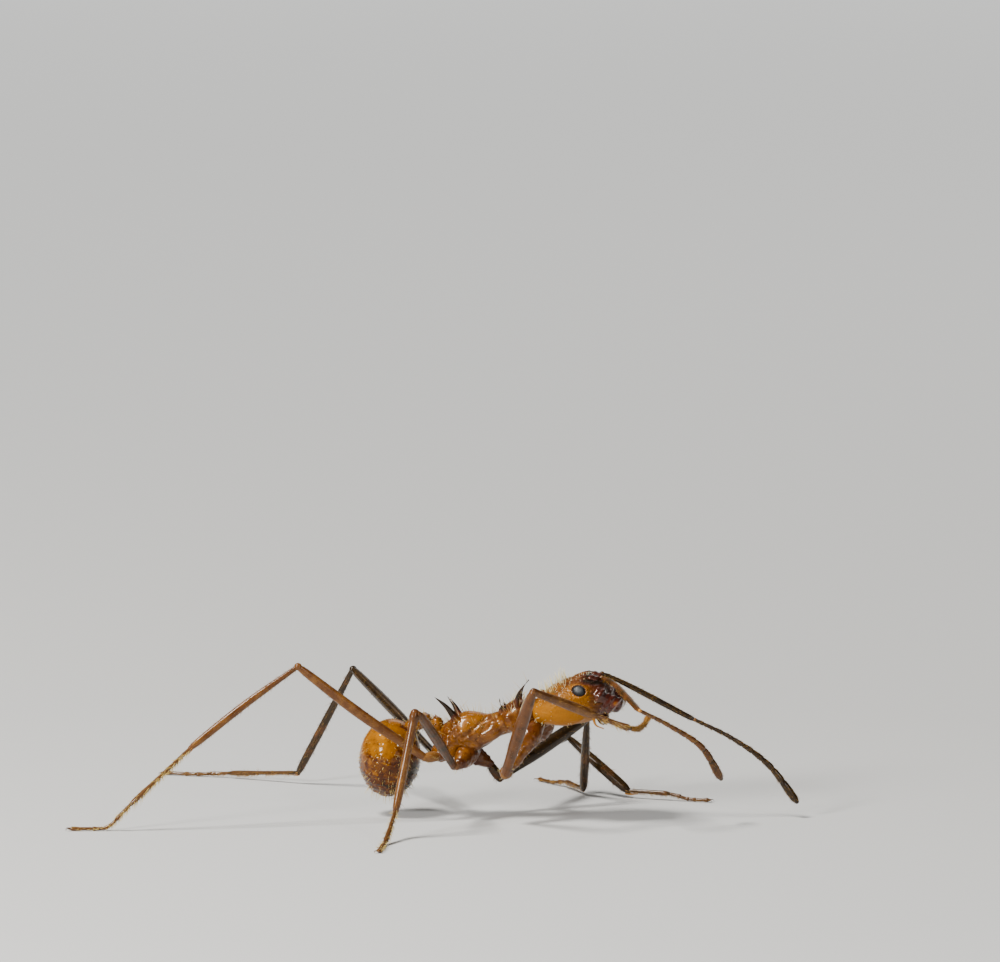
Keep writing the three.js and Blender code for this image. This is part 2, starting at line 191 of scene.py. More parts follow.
@dataclass
class Solid:
    """A closed mesh, with a tone from 0, dark, to 1, amber, at every point."""

    points: Array
    quads: Array
    tris: Array
    tone: Array

    @classmethod
    def from_rings(cls, rings: Array, tone: float | Array = 0.5) -> "Solid":
        """Closes a grid of rings into a solid.

        Args:
            rings: points by ring and by place around it.
            tone: one tone, or one for each ring.

        Returns:
            The solid, with a fan over each end.
        """
        count, around = rings.shape[:2]
        ends = rings[[0, -1]].mean(axis=1)
        points = np.vstack([rings.reshape(-1, 3), ends])
        i, j = np.meshgrid(np.arange(count - 1), np.arange(around), indexing="ij")
        nxt = (j + 1) % around
        quads = np.stack([i * around + j, i * around + nxt, (i + 1) * around + nxt, (i + 1) * around + j], -1)
        ring = np.arange(around)
        after = (ring + 1) % around
        last = (count - 1) * around
        first_fan = np.stack([after, ring, np.full(around, count * around)], -1)
        last_fan = np.stack([last + ring, last + after, np.full(around, count * around + 1)], -1)
        tones = np.broadcast_to(np.asarray(tone, float), (count,))
        solid = cls(points, quads.reshape(-1, 4), np.vstack([first_fan, last_fan]),
                    np.concatenate([np.repeat(tones, around), tones[[0, -1]]]))
        return solid if solid.volume() > 0 else solid.inside_out()

    @classmethod
    def union(cls, parts: Sequence["Solid"]) -> "Solid":
        """Returns the parts laid together as one solid of several shells."""
        starts = np.cumsum([0] + [len(part.points) for part in parts[:-1]])
        return cls(
            np.vstack([part.points for part in parts]),
            np.vstack([part.quads + start for part, start in zip(parts, starts)]),
            np.vstack([part.tris + start for part, start in zip(parts, starts)]),
            np.concatenate([part.tone for part in parts]),
        )

    def inside_out(self) -> "Solid":
        """Returns the solid with its faces turned over."""
        return Solid(self.points, self.quads[:, ::-1], self.tris[:, ::-1], self.tone)

    def triangles(self) -> Array:
        """Returns every face as triangles of point numbers."""
        q = self.quads
        return np.vstack([q[:, [0, 1, 2]], q[:, [0, 2, 3]], self.tris])

    def volume(self) -> float:
        """Returns the signed volume."""
        a, b, c = (self.points[self.triangles()[:, k]] for k in range(3))
        return float(np.einsum("ij,ij->i", a, np.cross(b, c)).sum() / 6)

    def normals(self) -> Array:
        """Weighs the faces round each point by their size.

        Returns:
            The outward normal at each point.
        """
        tris = self.triangles()
        a, b, c = (self.points[tris[:, k]] for k in range(3))
        faces = np.cross(b - a, c - a)
        total = np.zeros_like(self.points)
        for k in range(3):
            np.add.at(total, tris[:, k], faces)
        return unit(total)

    def moved(self, change: Callable[[Array], Array]) -> "Solid":
        """Returns the solid with its points changed."""
        return Solid(change(self.points), self.quads, self.tris, self.tone)

    def shifted(self, by: Sequence[float]) -> "Solid":
        """Returns the solid set off by a distance along each axis."""
        return self.moved(lambda points: points + vec(by))

    def swollen(self, height: Array) -> "Solid":
        """Returns the solid with each point raised along its normal."""
        return Solid(self.points + self.normals() * height[:, None], self.quads, self.tris, self.tone)

    def toned(self, tone: Array) -> "Solid":
        """Returns the solid with other tones."""
        return Solid(self.points, self.quads, self.tris, np.clip(tone, 0, 1))

    def relaxed(self, times: int) -> "Solid":
        """Smooths the solid.

        Args:
            times: how many times each point is drawn towards its neighbours.

        Returns:
            The smoother solid.
        """
        pull = 0.6  # how far each point goes towards the middle of its neighbours
        edges = np.vstack([self.quads[:, [k, (k + 1) % 4]] for k in range(4)]
                          + [self.tris[:, [k, (k + 1) % 3]] for k in range(3)])
        degree = np.bincount(edges[:, 0], minlength=len(self.points))[:, None].astype(float)
        points = self.points
        for _ in range(times):
            total = np.zeros_like(points)
            for k in range(3):
                total[:, k] = np.bincount(edges[:, 0], points[edges[:, 1], k], len(points))
            points = np.where(degree > 0, points * (1 - pull) + total / np.maximum(degree, 1) * pull, points)
        return Solid(points, self.quads, self.tris, self.tone)

    def fused(self, voxel: float, relax: int) -> "Solid":
        """Melts the shells into one skin.

        Args:
            voxel: the size of the new skin's faces.
            relax: how many times to smooth it.

        Returns:
            The skin, with an even tone.
        """
        thing = placed("melt", self.mesh("melt", 1))
        remesh = thing.modifiers.new("melt", "REMESH")
        remesh.mode, remesh.voxel_size = "VOXEL", voxel
        melted = thing.evaluated_get(bpy.context.evaluated_depsgraph_get()).to_mesh()
        points = read(melted.vertices, "co", 3)
        corners, starts = read(melted.loops, "vertex_index"), read(melted.polygons, "loop_start")
        totals = np.diff(np.append(starts, len(corners)))
        quads = corners[starts[totals == 4][:, None] + np.arange(4)]
        tris = corners[starts[totals == 3][:, None] + np.arange(3)]
        bpy.data.objects.remove(thing)
        skin = Solid(points.reshape(-1, 3).astype(float), quads, tris, np.full(len(points) // 3, 0.5))
        return skin.relaxed(relax)

    def mesh(self, name: str, scale: float = MM) -> bpy.types.Mesh:
        """Makes the Blender mesh.

        Args:
            name: the mesh's name.
            scale: metres for each of this file's units.

        Returns:
            A smooth-shaded mesh with the tones as an attribute.
        """
        mesh = bpy.data.meshes.new(name)
        mesh.from_pydata((self.points * scale).tolist(), [], self.quads.tolist() + self.tris.tolist())
        mesh.shade_smooth()
        mesh.attributes.new("tone", "FLOAT", "POINT").data.foreach_set("value", self.tone.astype(np.float32))
        mesh.update()
        return mesh

    def scatter(self, count: int, seed: int) -> tuple[Array, Array]:
        """Picks points evenly over the surface.

        Args:
            count: how many.
            seed: the start of the random draw.

        Returns:
            The points and the outward normals there.
        """
        rng = np.random.default_rng(seed)
        tris = self.triangles()
        a, b, c = (self.points[tris[:, k]] for k in range(3))
        area = np.linalg.norm(np.cross(b - a, c - a), axis=1)
        pick = rng.choice(len(tris), count, p=area / area.sum())
        s, t = rng.random((2, count, 1))
        s, t = np.where(s + t > 1, 1 - s, s), np.where(s + t > 1, 1 - t, t)
        return a[pick] + (b - a)[pick] * s + (c - a)[pick] * t, unit(np.cross(b - a, c - a)[pick])


def frames_along(path: Array, across: Array) -> tuple[Array, Array, Array]:
    """Carries a pair of cross directions along a path without twist.

    Args:
        path: the points.
        across: roughly where the first cross direction points.

    Returns:
        The tangent and the two cross directions at each point.
    """
    tangents = unit(np.gradient(path, axis=0))
    firsts = []
    current = across
    for tangent in tangents:
        current = unit(current - tangent * (current @ tangent))
        firsts.append(current)
    first = np.array(firsts)
    return tangents, first, np.cross(tangents, first)


@dataclass
class Limb:
    """A round-ended tube along a path, whose surface can be walked by share and angle."""

    path: Array
    radii: Array
    across: Array = field(default_factory=lambda: -UP)
    flat: float = 1.0  # its width, as a share of its depth
    sides: int = 20
    tone: float | Array = 0.5
    caps: int = 5

    @classmethod
    def shaped(cls, knots: Knots, stations: Knots, rings: int = 40, **others) -> "Limb":
        """Makes a limb from a few knots and (share, radius) stations.

        Args:
            knots: what its centre line passes through.
            stations: its radius at shares of its length.
            rings: how many rings it has.
            **others: further fields.

        Returns:
            The limb.
        """
        shares = np.linspace(0, 1, rings)
        return cls(path_through(knots, rings), profile(stations, shares), **others)

    def solid(self) -> Solid:
        """Closes the limb with round ends.

        Returns:
            Its mesh.
        """
        tangents, first, second = frames_along(self.path, self.across)
        angles = np.linspace(0, 2 * math.pi, self.sides, endpoint=False)
        round_ends = np.radians(np.linspace(85, 15, self.caps))
        tones = np.broadcast_to(np.asarray(self.tone, float), (len(self.path),))
        rows = [(0, -math.sin(a), math.cos(a)) for a in round_ends]
        rows += [(i, 0.0, 1.0) for i in range(len(self.path))]
        rows += [(len(self.path) - 1, math.sin(a), math.cos(a)) for a in round_ends[::-1]]
        rings = []
        for i, reach, share in rows:
            spoke = (first[i] * np.cos(angles)[:, None] + second[i] * self.flat * np.sin(angles)[:, None])
            rings.append(self.path[i] + tangents[i] * self.radii[i] * reach + spoke * self.radii[i] * share)
        return Solid.from_rings(np.array(rings), tones[[i for i, _, _ in rows]])

    def reach(self) -> float:
        """Returns the distance between its ends."""
        return float(np.linalg.norm(self.path[-1] - self.path[0]))

    def scatter(self, count: int, rng: np.random.Generator, under: float = 0.0) -> tuple[Array, ...]:
        """Picks places on the limb's side, clear of its ends.

        Args:
            count: how many.
            rng: the random draw.
            under: how much the places gather on the across side, from 0 to 1.

        Returns:
            The points, the outward directions, the tangents, the shares and the turns, from 0 to 1.
        """
        tangents, first, second = frames_along(self.path, self.across)
        share = rng.uniform(0.02, 0.98, count)
        angle = rng.uniform(-math.pi, math.pi, count)
        angle *= 1 - under * rng.random(count)
        last = len(self.path) - 1
        row = np.minimum((share * last).round().astype(int), last)
        way = first[row] * np.cos(angle)[:, None] + second[row] * self.flat * np.sin(angle)[:, None]
        rows = np.arange(last + 1)
        centre = np.stack([np.interp(share * last, rows, self.path[:, k]) for k in range(3)], axis=1)
        roots = centre + way * self.radii[row][:, None] * 0.97  # just under the skin
        return roots, unit(way), tangents[row], share, angle / (2 * math.pi) + 0.5


def ellipsoid(centre: Sequence[float], half: Sequence[float], turns: Sequence[tuple[int, float]] = (),
              rings: int = 24, sides: int = 28, tone: float = 0.5) -> Solid:
    """Makes an ellipsoid.

    Args:
        centre: its middle.
        half: its half sizes.
        turns: axis and angle of each turn about its middle, in order.
        rings: rings from pole to pole, which lie along X.
        sides: points around.
        tone: its tone.

    Returns:
        The solid.
    """
    polar = np.radians(np.linspace(3, 177, rings))[:, None]
    angle = np.linspace(0, 2 * math.pi, sides, endpoint=False)[None]
    ball = [np.cos(polar) + 0 * angle, np.sin(polar) * np.cos(angle), np.sin(polar) * np.sin(angle)]
    points = np.stack(ball, -1) * vec(half)
    for axis, degrees in turns:
        points = turn(points, axis, degrees)
    return Solid.from_rings(points + vec(centre), tone)


def horn(base: Sequence[float], tip: Sequence[float], radius: float, bow: Sequence[float] = (0, 0, 0),
         tone: float = 0.1, point: float = 0.06) -> Solid:
    """Makes a tapered spine.

    Args:
        base: the middle of its root.
        tip: its point.
        radius: at the root.
        bow: how far its middle is drawn aside.
        tone: its tone.
        point: the tip's radius, as a share of the root's.

    Returns:
        The solid.
    """
    base, tip = vec(base), vec(tip)
    middle = (base + tip) / 2 + vec(bow)
    stations = ((0, radius), (0.3, radius * 0.66), (0.7, radius * 0.34), (1, radius * point))
    return Limb.shaped((base, middle, tip), stations, rings=24, sides=14, tone=tone).solid()


def sections(stations: Knots, count: int, around: int, squareness: float = 2.0) -> Array:
    """Runs closed sections through (ahead, half width, top, bottom) stations.

    Args:
        stations: what the sections pass through.
        count: how many sections to return.
        around: how many points each has.
        squareness: 2 for round sections, and more for squarer ones.

    Returns:
        The points, by section and by place around it.
    """
    angle = np.linspace(0, 2 * math.pi, around, endpoint=False)
    waves = np.cos(angle), np.sin(angle)
    across, rise = (np.sign(wave) * np.abs(wave) ** (2 / squareness) for wave in waves)
    x, wide, top, bottom = (column[:, None] for column in catmull(stations, count).T)
    return np.stack([x + 0 * across, wide * across, (top + bottom) / 2 + (top - bottom) / 2 * rise], -1)


@dataclass(frozen=True)
class Lump:
    """A swelling, measured on the left side or on the midline."""

    centre: Triple
    half: Triple
    turns: tuple[tuple[int, float], ...] = ()
    tone: float = 0.5

    def solid(self, side: int = 1) -> Solid:
        """Returns the lump on the side asked for."""
        turns = [(axis, degrees if axis == 1 else degrees * side) for axis, degrees in self.turns]
        return ellipsoid(mirrored(self.centre, side), self.half, turns, tone=self.tone)


@dataclass(frozen=True)
class Ridge:
    """A raised, round-ended line, measured on the left side."""

    knots: tuple[Triple, ...]
    stations: Knots
    rings: int = 30
    sides: int = 12
    tone: float = 0.5

    def solid(self, side: int) -> Solid:
        """Returns the ridge on the side asked for."""
        knots = [mirrored(knot, side) for knot in self.knots]
        return Limb.shaped(knots, self.stations, rings=self.rings, sides=self.sides, tone=self.tone).solid()


@dataclass(frozen=True)
class Spine:
    """A tapered spine, measured on the left side."""

    base: Triple
    tip: Triple
    radius: float
    bow: Triple = (0.0, 0.0, 0.0)

    def solid(self, side: int) -> Solid:
        """Returns the spine on the side asked for."""
        base, tip, bow = (mirrored(place, side) for place in (self.base, self.tip, self.bow))
        return horn(base, tip, self.radius, bow)


def gathered(points: Array, sites: Array, width: float) -> Array:
    """Measures how near each point lies to its nearest site.

    Args:
        points: the points.
        sites: the places that they gather at.
        width: how far a site is felt.

    Returns:
        For each point, 1 at a site and 0 well past the width.
    """
    nearest = np.full(len(points), 1e9)
    for site in sites:
        nearest = np.minimum(nearest, ((points - site) ** 2).sum(axis=1))
    return np.exp(-nearest / width**2)


# ------------------------------ finishes
class Grain(enum.Enum):
    """What breaks up the gloss of a finish."""

    LEATHERY = "fine net of cells"
    SATIN = "fine streaks"
    FACETED = "rows of lenses"


Colour = tuple[float, float, float]
Socket = bpy.types.NodeSocket


@dataclass(frozen=True)
class Wiring:
    """The shader and nodes of one material. An input is set to a value or linked to another node's output."""

    material: bpy.types.Material

    @classmethod
    def named(cls, name: str) -> "Wiring":
        """Starts a material.

        Args:
            name: its name.

        Returns:
            Its wiring, with the plain shader alone.
        """
        material = bpy.data.materials.new(name)
        material.use_nodes = True
        return cls(material)

    @property
    def shader(self) -> bpy.types.Node:
        """The material's shader."""
        return self.material.node_tree.nodes["Principled BSDF"]

    def feed(self, node: bpy.types.Node, inputs: dict[str | int, object]) -> bpy.types.Node:
        """Sets or links a node's inputs.

        Args:
            node: the node.
            inputs: a value or an output socket for each input's name or number.

        Returns:
            The node.
        """
        for name, value in inputs.items():
            if isinstance(value, Socket):
                self.material.node_tree.links.new(value, node.inputs[name])
            else:
                node.inputs[name].default_value = value
        return node

    def add(self, kind: str, inputs: dict[str | int, object], **settings: str) -> bpy.types.Node:
        """Adds a node.

        Args:
            kind: its kind, without the first words that all shader nodes share.
            inputs: as for feed.
            **settings: its other settings.

        Returns:
            The node.
        """
        node = self.material.node_tree.nodes.new(f"ShaderNode{kind}")
        for name, value in settings.items():
            setattr(node, name, value)
        return self.feed(node, inputs)

    def noise(self, here: Socket, scale: float, detail: float) -> Socket:
        """Returns the value of a noise at a place in millimetres."""
        inputs = {"Vector": here, "Scale": scale, "Detail": detail, "Roughness": 0.6}
        return self.add("TexNoise", inputs).outputs[0]

    def spread(self, value: Socket, low: float, high: float) -> Socket:
        """Returns a noise's middle range spread from low to high."""
        inputs = {"Value": value, "From Min": 0.3, "From Max": 0.7, "To Min": low, "To Max": high}
        return self.add("MapRange", inputs).outputs[0]

    def sum(self, *values: Socket) -> Socket:
        """Returns the values' sum."""
        return functools.reduce(lambda a, b: self.add("Math", {0: a, 1: b}).outputs[0], values)


@dataclass(frozen=True)
class Cuticle:
    """A horny shell finish, coloured by tone from dark to amber."""

    name: str
    tones: tuple[tuple[float, Colour], ...]
    roughness: float = 0.26
    coat: float = 0.25
    coat_roughness: float = 0.04
    shine: float = 0.5
    gleam: Colour = (1.0, 0.75, 0.4)  # what it does to the colour of reflections
    grain: Grain = Grain.LEATHERY
    cells: float = 14.0  # grain cells in a millimetre
    relief: float = 0.006
    mottle: float = 0.12  # how far blotches shift the tone
    depth: float = 0.12  # how much light passes into it

    @functools.cache
    def material(self) -> bpy.types.Material:
        """Makes the finish's material, on first use.

        Returns:
            The material.
        """
        wiring = Wiring.named(self.name)
        place = wiring.add("TexCoord", {}).outputs["Object"]
        here = wiring.add("VectorMath", {0: place, "Scale": 1 / MM}, operation="SCALE").outputs[0]
        blotches = wiring.noise(here, 2.6, 5)
        fine = wiring.noise(here, self.cells * 1.7, 3)
        wiring.feed(wiring.shader, {
            "Base Color": self._colour(wiring, blotches, fine),
            "Roughness": wiring.spread(blotches, self.roughness - 0.08, self.roughness + 0.1),
            "Normal": self._bump(wiring, here, fine),
            "Coat Weight": self.coat,
            "Coat Roughness": self.coat_roughness,
            "IOR": 1.5,
            "Specular IOR Level": self.shine,
            "Specular Tint": (*self.gleam, 1),
            "Subsurface Weight": self.depth,
            "Subsurface Radius": (1.0, 0.6, 0.2),
            "Subsurface Scale": 0.16 * MM,
        })
        return wiring.material

    def _colour(self, wiring: Wiring, blotches: Socket, fine: Socket) -> Socket:
        """Picks the colour by tone, shifted by blotches and fine specks.

        Args:
            wiring: the material's nodes.
            blotches: a broad noise.
            fine: a fine noise.

        Returns:
            The colour.
        """
        tone = wiring.add("Attribute", {}, attribute_name="tone").outputs["Fac"]
        shift = wiring.spread(blotches, -self.mottle, self.mottle)
        specks = wiring.spread(fine, -self.mottle / 2, self.mottle / 2)
        ramp = wiring.add("ValToRGB", {"Fac": wiring.sum(tone, shift, specks)})
        ramp.color_ramp.interpolation = "EASE"
        stops = ramp.color_ramp.elements
        while len(stops) < len(self.tones):
            stops.new(0.5)
        for stop, (position, colour) in zip(stops, self.tones):
            stop.position, stop.color = position, (*colour, 1)
        return ramp.outputs["Color"]

    def _bump(self, wiring: Wiring, here: Socket, fine: Socket) -> Socket:
        """Raises the grain.

        Args:
            wiring: the material's nodes.
            here: the place, in millimetres.
            fine: a fine noise.

        Returns:
            The bumped normal.
        """
        height = fine
        if self.grain is not Grain.SATIN:
            feature = "SMOOTH_F1" if self.grain is Grain.LEATHERY else "F1"
            cells = wiring.add("TexVoronoi", {"Vector": here, "Scale": self.cells}, feature=feature)
            domes = wiring.spread(cells.outputs["Distance"], 1.0, 0.0)
            height = wiring.sum(domes, fine) if self.grain is Grain.LEATHERY else domes
        inputs = {"Strength": 0.6, "Distance": self.relief * MM, "Height": height}
        return wiring.add("Bump", inputs).outputs["Normal"]


BLACK = (0.006, 0.003, 0.002)
MAHOGANY = (0.05, 0.008, 0.003)
RUST = (0.1, 0.027, 0.002)
ORANGE = (0.22, 0.074, 0.002)
AMBER = (0.31, 0.108, 0.0001)
SHELL_TONES = ((0.0, BLACK), (0.2, MAHOGANY), (0.4, RUST), (0.6, ORANGE), (1.0, AMBER))
SHELL = Cuticle("body_cuticle", SHELL_TONES, roughness=0.34, coat=0.42, shine=0.4, gleam=(1.0, 0.68, 0.4),
                relief=0.002, mottle=0.13)
HEAD_SHELL = Cuticle("head_cuticle", SHELL_TONES, roughness=0.38, coat=0.12, coat_roughness=0.1, shine=0.36,
                     gleam=(1.0, 0.64, 0.3), cells=17, relief=0.011, mottle=0.12)
FACE_SHELL = Cuticle("face_cuticle", SHELL_TONES, roughness=0.3, coat=0.75, shine=0.4, gleam=(1.0, 0.7, 0.6),
                     cells=9, relief=0.004, mottle=0.07)
GASTER_SHELL = Cuticle("gaster_cuticle", SHELL_TONES, roughness=0.28, coat=0.42, coat_roughness=0.07,
                       shine=0.24, gleam=(1.0, 0.55, 0.05), cells=11, relief=0.0018, mottle=0.3, depth=0.1)
LEG_SHELL = Cuticle(
    "leg_cuticle",
    ((0.0, BLACK), (0.3, (0.02, 0.01, 0.002)), (0.5, (0.1, 0.033, 0.007)), (0.75, (0.2, 0.083, 0.016)),
     (1.0, (0.42, 0.17, 0.016))),
    roughness=0.36, coat=0.5, coat_roughness=0.2, shine=0.2, gleam=(1.0, 0.7, 0.45), grain=Grain.SATIN,
    cells=18, relief=0.005, mottle=0.13, depth=0.06,
)
FOOT_SHELL = Cuticle(
    "foot_cuticle",
    ((0.0, (0.016, 0.008, 0.003)), (0.5, (0.1, 0.038, 0.009)), (1.0, (0.3, 0.12, 0.015))),
    roughness=0.42, coat=0.6, coat_roughness=0.15, shine=0.2, grain=Grain.SATIN, cells=22, relief=0.003,
    depth=0.06,
)
JAW_HORN = Cuticle(
    "jaw_horn",
    ((0.0, (0.008, 0.002, 0.001)), (0.4, (0.04, 0.006, 0.003)), (0.7, (0.12, 0.02, 0.006)),
     (1.0, (0.34, 0.11, 0.01))),
    roughness=0.24, coat=0.6, coat_roughness=0.05, shine=0.4, gleam=(1.0, 0.7, 0.6), grain=Grain.SATIN,
    cells=9, relief=0.003, mottle=0.1, depth=0.04,
)
EYE_LENSES = Cuticle(
    "eye_lenses",
    ((0.0, (0.002, 0.002, 0.003)), (0.5, (0.024, 0.026, 0.027)), (1.0, (0.055, 0.058, 0.06))),
    roughness=0.42, coat=0.1, coat_roughness=0.3, gleam=(0.95, 0.97, 1.0), grain=Grain.FACETED,
    cells=38, relief=0.008, mottle=0.04, depth=0.0,
)
BRISTLE = Cuticle(
    "bristle",
    ((0.0, (0.03, 0.012, 0.004)), (0.4, (0.42, 0.2, 0.03)), (0.7, (0.72, 0.5, 0.14)),
     (1.0, (0.9, 0.8, 0.45))),
    roughness=0.4, coat=0.0, grain=Grain.SATIN, cells=30, relief=0.001, mottle=0.1, depth=0.1,
)


# ------------------------------ pieces
def show(name: str, solid: Solid, finish: Cuticle, slot: str, *nodes: str) -> bpy.types.Object:
    """Puts a piece on show.

    Args:
        name: its name.
        solid: its shape, in the frame's axes.
        finish: its finish.
        slot: not used.
        *nodes: the frame's nodes that it stands for.

    Returns:
        The object.
    """
    piece = placed(name, solid.mesh(name))
    piece.data.materials.append(finish.material())
    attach(piece, "root")
    if nodes:
        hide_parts(*nodes)
    log.info("%s: %d faces", name, len(piece.data.polygons))
    return piece


def cover(node: str, solid: Solid, finish: Cuticle, slot: str) -> None:
    """Shows the one shell that stands for a node and is named after it."""
    show(f"{node}_shell", solid, finish, slot, node)


@dataclass
class Coat:
    """Bristles joined into one mesh. Each is a closed, tapered, slightly curved spike."""

    name: str
    slot: str
    spikes: list[dict[str, Array]] = field(default_factory=list)
    steps: int = 4
    patch: float = 0.003  # the size of a bristle on the unwrap
    taper: float = 0.88  # how much thinner the tip is than the root, as a share
    clearance: float = 0.005  # how high above the floor a tip stays

    def grow(self, roots: Array, ways: Array, lengths: Array, radius: float,
             unwrap: Array, bend: Array, tone: float) -> None:
        """Adds bristles, apart from those whose tips would reach the floor.

        Args:
            roots: where they stand.
            ways: where they point.
            lengths: how long they are.
            radius: how thick at the root.
            unwrap: each root's place on the unwrap of the surface it grows from.
            bend: how far each tip is drawn aside, as a share of its length.
            tone: from rusty to pale.
        """
        if not len(roots):
            return
        bend = np.broadcast_to(bend, roots.shape)
        tips = roots + (ways + bend) * lengths[:, None]
        clear = tips[:, 2] > self.clearance
        self.spikes.append({
            "roots": roots[clear], "ways": unit(ways)[clear], "lengths": lengths[clear],
            "radii": np.full(clear.sum(), radius), "unwrap": unwrap[clear], "bend": bend[clear],
            "tone": np.full(clear.sum(), tone),
        })

    def plant(self, body: "Framework", centre: Triple, roots: Array, ways: Array,
              lengths: Array, radius: float, bend: Triple = (0.0, 0.0, 0.0), tone: float = 0.5) -> None:
        """Adds bristles on a rounded shell. Places and directions are in the body's own frame.

        Args:
            body: the fixed frame's measures.
            centre: the shell's middle, which the unwrap is drawn about.
            roots: where they stand.
            ways: where they point.
            lengths: how long they are.
            radius: how thick at the root.
            bend: how far each tip is drawn aside, as a share of its length.
            tone: from rusty to pale.
        """
        self.grow(body.place(roots), ways @ body.axes, lengths, radius, globe_unwrap(roots, centre),
                  vec(bend) @ body.axes, tone)

    def build(self) -> None:
        """Builds the coat's one mesh, with its unwrap, and shows it."""
        row = {key: np.concatenate([spike[key] for spike in self.spikes]) for key in self.spikes[0]}
        count = len(row["roots"])
        across = unit(np.cross(row["ways"], row["ways"][:, [1, 2, 0]] + (0.1, 0.2, 0.3)))
        third = np.cross(row["ways"], across)
        levels = np.linspace(0, 1, self.steps)
        angles = np.radians((0, 120, 240))
        points = np.empty((count, self.steps, 3, 3))
        for level, share in enumerate(levels):
            reach = row["lengths"][:, None] * (row["ways"] * share + row["bend"] * share**2)
            radius = row["radii"][:, None] * (1 - self.taper * share)
            for corner, angle in enumerate(angles):
                points[:, level, corner] = row["roots"] + reach + radius * (
                    across * math.cos(angle) + third * math.sin(angle))
        start = np.arange(count)[:, None] * self.steps * 3
        quads = []
        for level in range(self.steps - 1):
            for corner in range(3):
                a, b = level * 3 + corner, level * 3 + (corner + 1) % 3
                quads.append(start + np.array((a, b, b + 3, a + 3)))
        top = (self.steps - 1) * 3
        tris = np.vstack([start + np.array((2, 1, 0)), start + np.array((top, top + 1, top + 2))])
        tone = np.repeat(row["tone"], self.steps * 3) + np.tile(np.repeat(levels * 0.3, 3), count)
        solid = Solid(points.reshape(-1, 3), np.vstack(quads), tris, np.clip(tone, 0, 1))
        self._unwrap(show(self.name, solid, BRISTLE, self.slot).data, row["unwrap"])

    def _unwrap(self, mesh: bpy.types.Mesh, roots: Array) -> None:
        """Lays each bristle as a small patch at its root's place.

        Args:
            mesh: the coat's mesh.
            roots: each root's place on the unwrap.
        """
        corner = np.tile(np.array(((0, 0), (0.5, 0.2), (1, 0))), (self.steps, 1))
        corner[:, 1] += np.repeat(np.linspace(0, 0.8, self.steps), 3)
        inside = np.clip(roots, 0, 1 - self.patch)
        places = (inside[:, None] + corner[None] * self.patch).reshape(-1, 2)
        layer = mesh.uv_layers.new(name="OFBake")
        index = read(mesh.loops, "vertex_index")
        layer.data.foreach_set("uv", places[index].astype(np.float32).ravel())


def strewn(rng: np.random.Generator, normals: Array, spread: float, lean: Triple) -> Array:
    """Returns bristles' ways: the normals, leaning and a little disordered."""
    return unit(normals + rng.normal(0, spread, normals.shape) + vec(lean))


def globe_unwrap(points: Array, centre: Sequence[float]) -> Array:
    """Returns each point's longitude and latitude about a centre, both from 0 to 1."""
    way = unit(points - vec(centre))
    return np.stack([np.arctan2(way[:, 1], way[:, 0]) / (2 * math.pi) + 0.5,
                     np.arcsin(np.clip(way[:, 2], -1, 1)) / math.pi + 0.5], axis=1)


# ------------------------------ the fixed frame
class Framework:
    """Reads the ant's stance off the fixed frame."""

    def __init__(self, eyes_at: Triple) -> None:
        """Finds the body's own frame.

        Args:
            eyes_at: the middle between the eyes, in the body's own frame.
        """
        left, right = self.middle("eye_left"), self.middle("eye_right")
        self.left = unit(left - right)
        self.ahead = np.cross(self.left, UP)
        self.axes = np.array((self.ahead, self.left, UP))
        self.origin = (left + right) / 2 - vec(eyes_at) @ self.axes

    @staticmethod
    def middle(node: str) -> Array:
        """Returns the middle of a node's box."""
        low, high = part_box(node)
        return (vec(low) + vec(high)) / 2 / MM

    def place(self, points: Array) -> Array:
        """Returns points of the body's own frame in the fixed frame."""
        return np.asarray(points, float) @ self.axes + self.origin

    @staticmethod
    def cloud(node: str) -> Array:
        """Spreads points evenly over a node's surface.

        Args:
            node: the node's name.

        Returns:
            The points.
        """
        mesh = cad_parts[node].data
        mesh.calc_loop_triangles()
        tris = np.array([tri.vertices[:] for tri in mesh.loop_triangles])
        points = np.array([vertex.co[:] for vertex in mesh.vertices]) / MM
        none = np.empty((0, 4), int)
        return Solid(points, none, tris, np.zeros(len(points))).scatter(3000, seed=1)[0]

    def far_end(self, node: str, start: Array) -> tuple[Array, Array, float]:
        """Finds the end of a limb's length that lies away from a start.

        Args:
            node: the length's name.
            start: a point near its other end.

        Returns:
            The middle of its far end, the way it points there, and its reach back along that way.
        """
        cloud = self.cloud(node)
        distance = np.linalg.norm(cloud - start, axis=1)
        outer = cloud[distance > np.quantile(distance, 0.5)]
        centre = outer.mean(axis=0)
        way = np.linalg.svd(outer - centre, full_matrices=False)[2][0]
        way = way if way @ (centre - start) > 0 else -way
        along = (cloud - centre) @ way
        aside = np.linalg.norm((cloud - centre) - along[:, None] * way, axis=1)
        radius = float(np.median(aside[np.abs(along - along.max() + 0.6) < 0.3]))
        straight = along[aside < radius * 1.3]
        return centre + way * (along.max() - radius), way, float(along.max() - radius - straight.min())

    def waypoint(self, node: str, start: Array, end: Array) -> Array:
        """Finds how a bent length bows.

        Args:
            node: the length's name.
            start: where it starts.
            end: where it ends.

        Returns:
            The middle of its section half way from start to end.
        """
        cloud = self.cloud(node)
        along = (cloud - start) @ unit(end - start)
        half = np.linalg.norm(end - start) / 2
        return cloud[np.abs(along - half) < 0.2].mean(axis=0)


